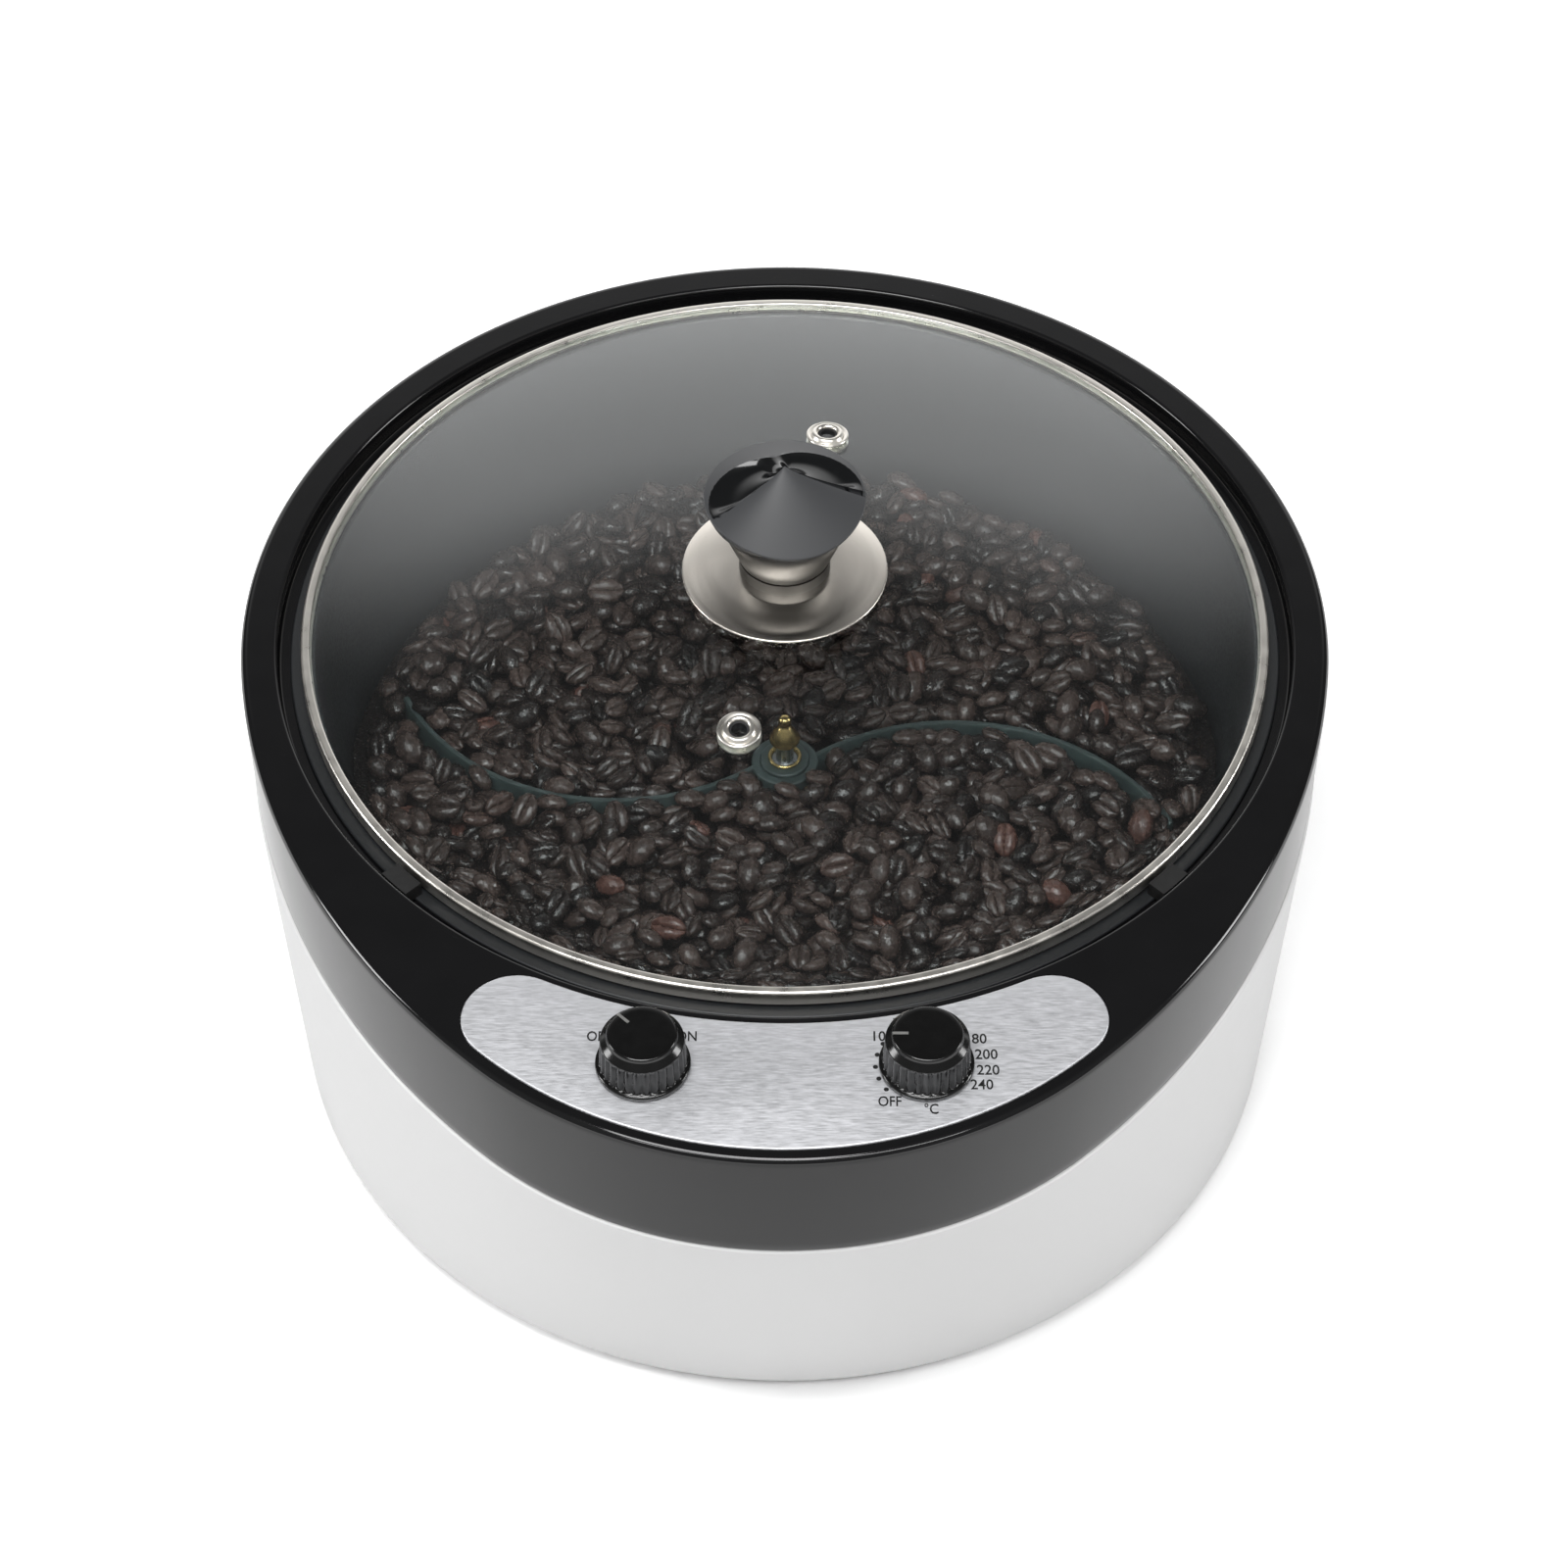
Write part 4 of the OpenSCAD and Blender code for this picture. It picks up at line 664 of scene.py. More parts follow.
class ROASTER_OT_shell(bpy.types.Operator):
    """White shell: a straight loft from the round foot to the egg-shaped band"""

    bl_idname = "roaster.shell"
    bl_label = "White shell"

    def execute(self, context):
        seam = context.scene.roaster_housing.seam / MM
        wall, lip, toe = 2.0, 1.4, 1.5
        height = SEAM_Z - FOOT_Z

        def row(z, inset):
            """Point = foot + (band - foot) x share of the height, for each direction."""
            share = (z - FOOT_Z) / height
            low, high = ring(FOOT_RING_R - inset, z), egg(inset, z)
            return low + (high - low) * np.array([share, share, 0])

        foot = [row(FOOT_Z + toe * (1 - math.cos(t)), toe * (1 - math.sin(t)))
                for t in np.radians(np.linspace(0, 90, 6))]
        top = SEAM_Z - seam
        lips = [row(top - lip + lip * math.sin(t), lip * (1 - math.cos(t)))
                for t in np.radians(np.linspace(0, 90, 7))]
        sides = [row(FOOT_Z + height * s, 0) for s in np.linspace(0.03, 0.97, 24)]
        rows = (
            foot + sides + [row(top - lip - 0.3, 0)] + lips
            + [row(top, wall), row(FOOT_Z + 2, wall), ring(LEDGE_R, FOOT_Z + 2)]
            + [ring(LEDGE_R, FOOT_Z)]
        )
        piece(
            "shell_skin", skin(rows, tube=True), "white_abs", "housing", ("lower_shell",),
        )
        return {"FINISHED"}


class ROASTER_OT_control_plate(bpy.types.Operator):
    """Brushed control plate with a bright bevelled edge"""

    bl_idname = "roaster.control_plate"
    bl_label = "Control plate"

    def execute(self, context):
        bevel = 0.55
        turn = np.radians(np.linspace(0, 90, 5))
        rows = [plate_outline(0.0, PLATE_Z - PLATE_T)]
        rows += [
            plate_outline(-bevel * (1 - math.cos(t)), PLATE_Z - bevel + bevel * math.sin(t))
            for t in turn
        ]
        piece(
            "plate_skin", skin(rows), "brushed_steel", "housing", ("control_plate",),
            sharp=60,
        )
        return {"FINISHED"}


class ROASTER_OT_dial_print(bpy.types.Operator):
    """Printed words, figures and dots of both dials"""

    bl_idname = "roaster.dial_print"
    bl_label = "Dial print"

    words = (
        ("OFF", -47.0, -146.4), ("ON", -24.7, -146.4), ("100", 24.5, -146.4),
        ("OFF", 26.1, -167.1), ("°C", 36.4, -169.5), ("180", 48.0, -147.2),
        ("200", 50.6, -152.2), ("220", 50.9, -157.2), ("240", 49.2, -161.8),
    )
    # Figures behind the knob, with their bearing in degrees on a circle round it
    hidden = (("120", -24.0), ("140", -2.0), ("160", 19.0))
    hidden_r = 14.6
    # Width of the letters and of the figures beside those of the font: the print is condensed
    letter_width, figure_width = 0.76, 0.87
    dots = ((24.7, -148.7), (23.2, -152.2), (22.7, -156.1), (23.5, -159.8), (25.3, -163.2))
    dot_r = 0.65
    film = 0.012  # half the thickness of the ink
    capital = 0.72  # height of a figure as a share of the font's size

    def lettering(self, word, size):
        """Flat mesh of a word: its outline is filled and raised by a film of ink."""
        text = bpy.data.curves.new("word", "FONT")
        text.body = word
        text.size = size * MM / self.capital
        text.extrude = self.film * MM
        text.offset = 0.05 * MM
        text.resolution_u = 3
        text.align_x = "CENTER"
        text.align_y = "CENTER"
        holder = bpy.data.objects.new("word", text)
        bpy.context.scene.collection.objects.link(holder)
        graph = bpy.context.evaluated_depsgraph_get()
        mesh = bpy.data.meshes.new_from_object(holder.evaluated_get(graph))
        points, faces = points_of(mesh), [list(p.vertices) for p in mesh.polygons]
        bpy.data.objects.remove(holder)
        bpy.data.meshes.remove(mesh)
        return points, faces

    def execute(self, context):
        size = context.scene.roaster_controls.digit_height / MM
        ink_z = PLATE_Z + 0.015
        places = list(self.words)
        for word, turn in self.hidden:
            a = math.radians(turn)
            x, y = self.hidden_r * math.sin(a), self.hidden_r * math.cos(a)
            places.append((word, KNOB_X + x, KNOB_Y + y))
        shells = []
        for word, x, y in places:
            points, faces = self.lettering(word, size)
            narrow = self.figure_width if word.isdigit() else self.letter_width
            shells.append((points * np.array([narrow, 1, 1]) + np.array([x, y, ink_z]), faces))
        r, z0, z1 = self.dot_r, ink_z - self.film, ink_z + self.film
        shells += [lathe([(0, z1), (r, z1), (r, z0), (0, z0)], 14, dot) for dot in self.dots]
        piece("dial_print", joined(shells), "ink", "housing")
        return {"FINISHED"}


# ---- Knobs ------------------------------------------------------------------


class ROASTER_OT_knobs(bpy.types.Operator):
    """Two fluted black knobs with a smooth crown"""

    bl_idname = "roaster.knobs"
    bl_label = "Control knobs"

    def knob(self, name, x, turn, flutes, depth):
        """Radius at height z and angle a = profile(z) - depth x share(z) x
        (1 - |cos(n a / 2)|^1.4), so that each flute is a round hollow between two sharp ribs. The
        rows are radius, height and share."""
        z0, z1 = level(name, top=False), level(name) - 0.05
        rows = [
            (0, z0 + 10.2, 0), (3.1, z0 + 10.2, 0), (3.1, z0 + 3.6, 0), (8.3, z0 + 3.6, 0),
            (8.3, z0, 0), (11.7, z0, 0), (12.0, z0 + 0.3, 0), (12.0, z0 + 1.0, 0),
            (11.85, z0 + 1.3, 0), (11.3, z0 + 1.45, 0), (11.12, z0 + 1.6, 0.6),
            (11.08, z0 + 1.9, 1), (10.9, z0 + 5, 1), (10.72, z1 - 4.0, 1), (10.66, z1 - 3.5, 1),
            (10.64, z1 - 3.1, 0.5), (10.62, z1 - 2.9, 0.05), (10.58, z1 - 2.75, 0),
            (10.42, z1 - 2.52, 0), (10.34, z1 - 2.44, 0), (9.16, z1 - 1.26, 0),
            (9.08, z1 - 1.18, 0), (8.98, z1 - 1.0, 0), (8.86, z1 - 0.5, 0),
            (8.74, z1 - 0.25, 0), (8.5, z1 - 0.08, 0), (8.2, z1, 0), (7.0, z1, 0), (0, z1, 0),
        ]
        shape = np.array(rows, float)
        a = np.arange(flutes * 10) * TAU / (flutes * 10)
        hollow = 1 - np.abs(np.cos(flutes * a / 2)) ** 1.4
        r = shape[:, 0][:, None] - depth * shape[:, 2][:, None] * hollow[None]
        rim = (shape[:, 0] > 0)[:, None]
        z = np.repeat(shape[:, 1][:, None], len(a), axis=1)
        a = a + math.radians(turn)
        grid = np.stack([x + r * np.cos(a) * rim, KNOB_Y + r * np.sin(a) * rim, z], axis=-1)
        piece(name + "_skin", skin(grid), "black_phenolic", name, (name,), sharp=50)

    def execute(self, context):
        controls = context.scene.roaster_controls
        for name, x, turn in (
            ("power_knob", -KNOB_X, POWER_ANGLE), ("thermostat_knob", KNOB_X, THERMOSTAT_ANGLE)
        ):
            self.knob(name, x, turn, controls.flutes, controls.flute_depth / MM)
        return {"FINISHED"}


# ---- Pan and stirrer --------------------------------------------------------


def pan_floor_height(r):
    """Height of the pan's inner face at radius r: flat, then a quarter circle."""
    inner = PAN_WALL_R - PAN_CORNER_R
    over = np.clip(np.asarray(r, float) - inner, 0, PAN_CORNER_R - 0.01)
    return PAN_FLOOR_Z + PAN_CORNER_R - np.sqrt(PAN_CORNER_R**2 - over**2)


class ROASTER_OT_pan(bpy.types.Operator):
    """Round roasting pan with its flange on the ledge"""

    bl_idname = "roaster.pan"
    bl_label = "Roasting pan"

    def execute(self, context):
        corner = (PAN_WALL_R - PAN_CORNER_R, PAN_FLOOR_Z + PAN_CORNER_R)
        t = PAN_SHEET
        hole_r = 6.15
        inside = profile(
            (hole_r, PAN_FLOOR_Z), (7, PAN_FLOOR_Z), (60, PAN_FLOOR_Z),
            bend(corner, PAN_CORNER_R, -90, 0, 12),
            (PAN_MOUTH_R - 0.1, PAN_TOP_Z - 3),
            bend((PAN_MOUTH_R + 1, PAN_TOP_Z - 1), 1.0, 180, 90, 5),
            (PAN_MOUTH_R + 3, PAN_TOP_Z), (135.6, PAN_TOP_Z),
            bend((135.7, PAN_TOP_Z - 0.6), 0.6, 90, -90, 6),
        )
        outside = profile(
            (PAN_MOUTH_R + t + 0.2, PAN_TOP_Z - t),
            (PAN_MOUTH_R + t, PAN_TOP_Z - 3),
            bend(corner, PAN_CORNER_R + t, 0, -90, 12),
            (hole_r, PAN_FLOOR_Z - t),
        )
        piece(
            "pan_skin", lathe(profile(inside, outside), 240, tube=True), "non_stick", "housing",
            ("roasting_pan",),
        )
        return {"FINISHED"}


def arm_point(angle):
    """Point of a stirrer arm's centre line at an angle round the arm's own centre."""
    a = np.radians(angle)
    return ARM_CENTRE + ARM_R * np.stack([np.cos(a), np.sin(a)], axis=-1)


class ROASTER_OT_stirrer(bpy.types.Operator):
    """Curved stirrer blade on its hub, with the brass nut and washer"""

    bl_idname = "roaster.stirrer"
    bl_label = "Stirrer"

    def arm(self, opposite, top):
        """An upright strip carried along an arc: the section is the strip's thickness by the
        height from the pan to the top edge, with the top edge rounded. The opposite arm is the
        same, half a turn on."""
        reach = math.degrees(
            math.acos(
                (ARM_REACH**2 - ARM_CENTRE @ ARM_CENTRE - ARM_R**2)
                / (2 * ARM_R * np.linalg.norm(ARM_CENTRE))
            )
        ) + math.degrees(math.atan2(ARM_CENTRE[1], ARM_CENTRE[0]))
        hub_end, hub_r, clear = 126, 11.3, 1.5
        angles = np.linspace(hub_end, reach, 64)
        path = arm_point(angles)
        radius = np.linalg.norm(path, axis=1)
        bottom = pan_floor_height(radius + clear) + clear
        bottom = np.where(radius < hub_r, SLEEVE_Z, bottom)
        out = np.stack([np.cos(np.radians(angles)), np.sin(np.radians(angles))], axis=-1)
        h = ARM_T / 2
        side = np.array([-h, -h, -h, -0.6 * h, 0, 0.6 * h, h, h, h])
        up = np.array([0, 0.5, 1, 1, 1, 1, 1, 0.5, 0])
        drop = np.array([0, 0, 0.7, 0.15, 0, 0.15, 0.7, 0, 0])
        flat = path[:, None, :] + side[None, :, None] * out[:, None, :]
        z = bottom[:, None] + (top - bottom[:, None]) * up[None] - drop[None]
        rows = np.concatenate([flat, z[..., None]], axis=-1)
        if opposite:
            rows = rows * np.array([-1, -1, 1])
        return skin(rows)

    def execute(self, context):
        top = level("stirrer_blade")
        sleeve = lathe(
            profile((7.1, SLEEVE_Z), (9.5, SLEEVE_Z), bend((8.9, top - 0.6), 0.6, 0, 90, 4),
                    (7.1, top)), 64, tube=True,
        )
        piece(
            "blade_skin", joined([self.arm(False, top), self.arm(True, top), sleeve]),
            "coated_blade", "stirrer", ("stirrer_blade",),
        )
        z0 = level("stirrer_hub", top=False)
        hub = lathe(
            profile((3.6, z0), (7, z0 + 0.2), (10.4, z0 + 0.2), (11, z0 + 0.8), (11, z0 + 6.6),
                    (10.2, z0 + 7.5), (7, z0 + 7.5), bend((6.4, HUB_TOP_Z - 0.6), 0.6, 0, 90, 4),
                    (3.6, HUB_TOP_Z)), 72, tube=True,
        )
        piece("hub_skin", hub, "coated_blade", "stirrer", ("stirrer_hub",))
        w0, w1 = level("hub_washer", top=False), level("hub_washer")
        washer = lathe(
            profile((3.7, w0), (4.4, w0), bend((4.3, (w0 + w1) / 2), 0.5, -80, 160, 9),
                    (3.7, w0 + 0.3)), 64, tube=True,
        )
        piece("washer_skin", washer, "turned_brass", "stirrer", ("hub_washer",))
        n0, n1 = level("hub_nut", top=False), level("hub_nut")
        nut = lathe(
            [(0, n0 + 5.8), (3.4, n0 + 5.9), (4.1, n0 + 6.2), (4.3, n0 + 6.5),
             (4.3, n0 + 7.3), (4.1, n0 + 7.7), (1.7, n1 - 3.8), (1.3, n1 - 3.5),
             (1.3, n1 - 2.9), (1.9, n1 - 2.5), (1.95, n1 - 1.4), (1.5, n1 - 0.5),
             (0.8, n1 - 0.1), (0, n1)], 64,
        )
        piece("nut_skin", nut, "turned_brass", "stirrer", ("hub_nut",), sharp=55)
        stem = lathe([(0, w0 + 0.1), (2.5, w0 + 0.1), (2.5, n0 + 5.9), (0, n0 + 5.9)], 48)
        piece("nut_stem", stem, "coated_blade", "stirrer", ("hub_nut",), sharp=55)
        return {"FINISHED"}


# ---- Beans ------------------------------------------------------------------


BEAN_WIDTH = 0.74


def bean_form():
    """Points and faces of one bean of unit half-length. Its rings have the half-width
    w(x) = 0.74 sqrt(1 - x^2), a domed back z = 0.86 w sin t and a flat face z = -0.38 w with a
    crease along it that wanders a little."""
    xs = np.array([-0.93, -0.6, 0.0, 0.6, 0.93])
    wide = BEAN_WIDTH * np.sqrt(1 - xs**2)
    turns = np.radians([0, 40, 90, 140, 180])
    back = [(math.cos(t), 0.86 * math.sin(t)) for t in turns]
    face = [(-0.72, -0.34), (-0.16, -0.38), (0.0, -0.12), (0.16, -0.38), (0.72, -0.34)]
    section = np.array(back + face)
    rows = []
    for x, w in zip(xs, wide):
        lean = 0.06 * math.sin(x * math.pi)
        y = section[:, 0] * w
        y[len(back):] += lean * np.array([0.3, 1, 1, 1, 0.3])
        rows.append(np.stack([np.full(len(section), x), y, section[:, 1] * w], axis=-1))
    around = len(section)
    points = np.concatenate([np.array(rows).reshape(-1, 3), [[-1, 0, 0.05], [1, 0, 0.05]]])
    following = [(j, (j + 1) % around) for j in range(around)]
    first, last, end = len(points) - 2, len(points) - 1, (len(xs) - 1) * around
    quads = [[i + j, i + k, i + around + k, i + around + j]
             for i in range(0, end, around) for j, k in following]
    tris = [[first, k, j] for j, k in following] + [[last, end + j, end + k] for j, k in following]
    return points, np.array(quads), np.array(tris)


class ROASTER_OT_beans(bpy.types.Operator):
    """Roasted beans, dropped one by one onto the bed, clear of the blade"""

    bl_idname = "roaster.beans"
    bl_label = "Beans"

    # Radius that beans fall in, their distance from blade and hub, how high they may heap up over
    # the bed, the share that lies face down, and the fewest that make a charge
    spread, blade_gap, hub_gap, heap, faces_down, fewest = 118.5, 2.9, 11.6, 2.6, 0.45, 200

    def clear_of_arms(self, x, y):
        """Distance from a point to the nearer stirrer arm's centre line."""
        far = 99.0

        def one(px, py):
            away = np.abs(np.hypot(px - ARM_CENTRE[0], py - ARM_CENTRE[1]) - ARM_R)
            inside = (np.hypot(px, py) < ARM_REACH + 3) & (py > ARM_CENTRE[1]) & (px > 0)
            return np.where(inside, away, far)

        return np.minimum(one(x, y), one(-x, -y))

    def drop(self, rng, count, length):
        """Give each bean a place, height and lean. A height map in 1 mm cells holds the bed;
        each bean lies on the mean plane under it, and then raises the cells that it covers."""
        half, reach = 132, 8  # of the height map, and of the cells round one bean
        grid = np.arange(-half, half + 1, dtype=float)
        gx, gy = np.meshgrid(grid, grid, indexing="ij")
        # The bed stands higher near the arms and the hub, and under the blade none may lie
        bed = np.full(gx.shape, BED_Z - 6.0)
        arms = self.clear_of_arms(gx, gy)
        bed[(arms < 9) | (np.hypot(gx, gy) < 19)] = BED_Z - 0.8
        bed[arms < 1.6] = BED_Z + 3.0
        r = self.spread * np.sqrt(rng.random(count * 3))
        t = rng.random(count * 3) * TAU
        xs, ys = r * np.cos(t), r * np.sin(t)
        away = self.clear_of_arms(xs, ys)
        free = (away > self.blade_gap) & (r > self.hub_gap)
        xs, ys, away = xs[free], ys[free], away[free]
        placed = []
        for x0, y0, gap in zip(xs, ys, away):
            if len(placed) == count:
                break
            half_l = length / 2 * rng.uniform(0.84, 1.16)
            half_w = half_l * BEAN_WIDTH * rng.uniform(0.92, 1.08)
            yaw = rng.random() * TAU
            if math.hypot(x0, y0) < 16:
                yaw = math.atan2(y0, x0) + TAU / 4
            elif gap < 6.5:
                side = 1 if x0 > 0 else -1
                yaw = math.atan2(y0 - side * ARM_CENTRE[1], x0 - side * ARM_CENTRE[0]) + TAU / 4
            i0, j0 = int(x0 + half - reach), int(y0 + half - reach)
            cells = np.s_[i0 : i0 + 2 * reach + 1, j0 : j0 + 2 * reach + 1]
            px, py = gx[cells] - x0, gy[cells] - y0
            along = (px * math.cos(yaw) + py * math.sin(yaw)) / half_l
            across = (-px * math.sin(yaw) + py * math.cos(yaw)) / half_w
            inside = along**2 + across**2 < 0.8
            under = bed[cells]
            heights = under[inside]
            low = np.percentile(heights, 62)
            if low > BED_Z + self.heap:
                continue
            spots = np.column_stack([px[inside], py[inside], np.ones(inside.sum())])
            plane = np.linalg.lstsq(spots, heights, rcond=None)[0]
            slope = np.clip(plane[:2], -0.55, 0.55) + rng.normal(0, 0.12, 2)
            thick = half_l * 0.5
            z = low + thick * 0.72
            dome = np.sqrt(np.clip(1 - along**2 - across**2, 0, 1))
            top = z + slope[0] * px + slope[1] * py + thick * dome
            under[:] = np.where(dome > 0, np.maximum(under, top), under)
            placed.append((x0, y0, z, yaw, *slope, half_l, half_w / half_l / BEAN_WIDTH,
                           rng.random() < self.faces_down, rng.random()))
        return np.array(placed, float)

    def execute(self, context):
        beans = context.scene.roaster_beans
        rng = np.random.default_rng(beans.seed)
        rows = self.drop(rng, beans.count, beans.length / MM)
        if len(rows) < self.fewest:
            raise RuntimeError("too few beans found a place")
        form, quads, tris = bean_form()
        x, y, z, yaw, sx, sy, size, wide, face_down, tone = rows.T
        normal = np.stack([-sx, -sy, np.ones_like(sx)], axis=-1)
        normal /= np.linalg.norm(normal, axis=1)[:, None]
        ahead = np.stack([np.cos(yaw), np.sin(yaw), np.zeros_like(yaw)], axis=-1)
        ahead -= (ahead * normal).sum(axis=1)[:, None] * normal
        ahead /= np.linalg.norm(ahead, axis=1)[:, None]
        side = np.cross(normal, ahead)
        turned = np.where(face_down[:, None] > 0.5, normal, -normal)
        side = np.where(face_down[:, None] > 0.5, side, -side)
        local = form[None] * np.stack([size, size * wide, size], axis=-1)[:, None, :]
        points = (
            local[..., :1] * ahead[:, None]
            + local[..., 1:2] * side[:, None]
            + local[..., 2:3] * turned[:, None]
            + np.stack([x, y, z], axis=-1)[:, None]
        )
        layers = np.array_split(np.argsort(z), 3)
        for name, members in zip(("beans_lower", "beans_middle", "beans_upper"), layers):
            start = (np.arange(len(members)) * len(form))[:, None, None]
            faces = []
            for kind in (quads, tris):
                faces += (kind[None] + start).reshape(-1, kind.shape[1]).tolist()
            made = piece(
                name, (points[members].reshape(-1, 3), faces), "roasted_beans", "stirrer",
                ("bean_charge",), sharp=70,
            )
            mark(made, "tone", np.repeat(tone[members], len(form)))
        bed = lathe(
            profile((12.5, PAN_FLOOR_Z + 0.5), (105, PAN_FLOOR_Z + 0.5),
                    bend((PAN_WALL_R - PAN_CORNER_R, PAN_FLOOR_Z + PAN_CORNER_R),
                         PAN_CORNER_R - 0.4, -88, -30, 6),
                    (125, BED_Z - 5.0), (60, BED_Z - 4.5), (12.5, BED_Z - 4.5)),
            120, tube=True,
        )
        core = piece(
            "beans_core", bed, "roasted_beans", "stirrer", ("bean_charge",)
        )
        # The core stands for the beans under the top layers; its one darkest tone is painted shade
        # for the gaps between them.
        mark(core, "tone", np.zeros(len(core.data.vertices)))
        return {"FINISHED"}


# ---- Lid --------------------------------------------------------------------


def dome_height(r):
    """Height of the glass dome's upper face: a sphere's cap."""
    return GLASS_TOP_Z - DOME_RADIUS + np.sqrt(DOME_RADIUS**2 - np.asarray(r, float) ** 2)


class ROASTER_OT_glass(bpy.types.Operator):
    """Domed glass of the lid"""

    bl_idname = "roaster.glass"
    bl_label = "Lid glass"

    def execute(self, context):
        edge = level("lid_glass", top=False)
        rs = np.linspace(0, DOME_R - 1.5, 48)
        top = np.column_stack([rs, dome_height(rs)])
        under = np.column_stack([rs[::-1], dome_height(rs[::-1]) - GLASS_T])
        rim = profile(
            (DOME_R + 0.3, edge + GLASS_T + 0.1),
            bend((GLASS_R - 1.0, edge + GLASS_T - 1.0), 1.0, 80, 0, 5),
            bend((GLASS_R - 1.0, edge + 1.0), 1.0, 0, -80, 5),
            (DOME_R + 0.3, edge + 0.02),
        )
        piece(
            "glass_skin", lathe(profile(top, rim, under), 240), "clear_glass", "lid",
            ("lid_glass",), sharp=80,
        )
        return {"FINISHED"}


class ROASTER_OT_rim(bpy.types.Operator):
    """Rolled steel rim of the lid and the gasket under it"""

    bl_idname = "roaster.rim"
    bl_label = "Lid rim"

    def execute(self, context):
        bead = context.scene.roaster_lid.bead / MM
        t, z0, z1 = 0.8, RIM_Z0, RIM_Z1
        section = profile(
            (DOME_R, z0), bend((RIM_R - 0.5, z0 + 0.5), 0.5, -90, 0, 4),
            bend((RIM_R - bead, z1 - bead), bead, 0, 90, 7),
            (DOME_R + 1.2, z1), bend((DOME_R + 1.0, z1 - 0.4), 0.4, 90, 270, 6),
            (RIM_R - t, z1 - t - 0.05), (RIM_R - t, z0 + t), (DOME_R, z0 + t),
        )
        piece(
            "rim_skin", lathe(section, 300, tube=True), "bright_steel", "lid", ("lid_rim",),
        )
        g0, g1 = level("lid_gasket", top=False), level("lid_gasket")
        gasket = profile(
            (PAN_MOUTH_R + 0.8, g0), bend((RIM_R - 0.6, (g0 + g1) / 2), 0.4, -90, 90, 6),
            (PAN_MOUTH_R + 0.8, g1),
        )
        piece(
            "gasket_skin", lathe(gasket, 240, tube=True), "silicone", "lid", ("lid_gasket",),
        )
        return {"FINISHED"}


class ROASTER_OT_vents(bpy.types.Operator):
    """Two steel eyelets that let the steam out"""

    bl_idname = "roaster.vents"
    bl_label = "Steam vents"

    circle = 57.9
    direction = 78.0

    def execute(self, context):
        section = profile(
            (3.0, -GLASS_T - 1.0), (2.7, 0.7), bend((3.6, 0.8), 0.9, 180, 20, 8),
            (4.7, 0.7), bend((5.5, 0.5), 0.45, 100, -60, 6), (3.9, 0.1),
            (3.9, -GLASS_T - 0.1), (5.9, -GLASS_T - 0.15), (5.9, -GLASS_T - 0.7),
            (3.4, -GLASS_T - 1.0),
        )
        # A dark silicone sleeve inside each bore: painted shade, for the shadow down the hole.
        bore_shade = [(2.1, -GLASS_T - 0.9), (2.1, 0.75), (2.8, 0.85), (2.95, -GLASS_T - 0.9)]
        tilt = math.asin(self.circle / DOME_RADIUS)
        c, s = math.cos(tilt), math.sin(tilt)
        lean = np.array([[c, 0, s], [0, 1, 0], [-s, 0, c]])
        out = np.array([self.circle, 0, float(dome_height(self.circle))])
        shells = {"vent_skins": [], "vent_bore_shades": []}
        for turn in (self.direction, self.direction + 180):
            c, s = math.cos(math.radians(turn)), math.sin(math.radians(turn))
            spin = np.array([[c, -s, 0], [s, c, 0], [0, 0, 1]])
            for name, rows in (("vent_skins", section), ("vent_bore_shades", bore_shade)):
                points, faces = lathe(rows, 64, tube=True)
                shells[name].append(((points @ lean.T + out) @ spin.T, faces))
        piece(
            "vent_skins", joined(shells["vent_skins"]), "bright_steel", "lid",
            ("vent_grommets",),
        )
        # The dark sleeves in the bores are painted shade.
        piece("vent_bore_shades", joined(shells["vent_bore_shades"]), "silicone", "lid", ())
        return {"FINISHED"}


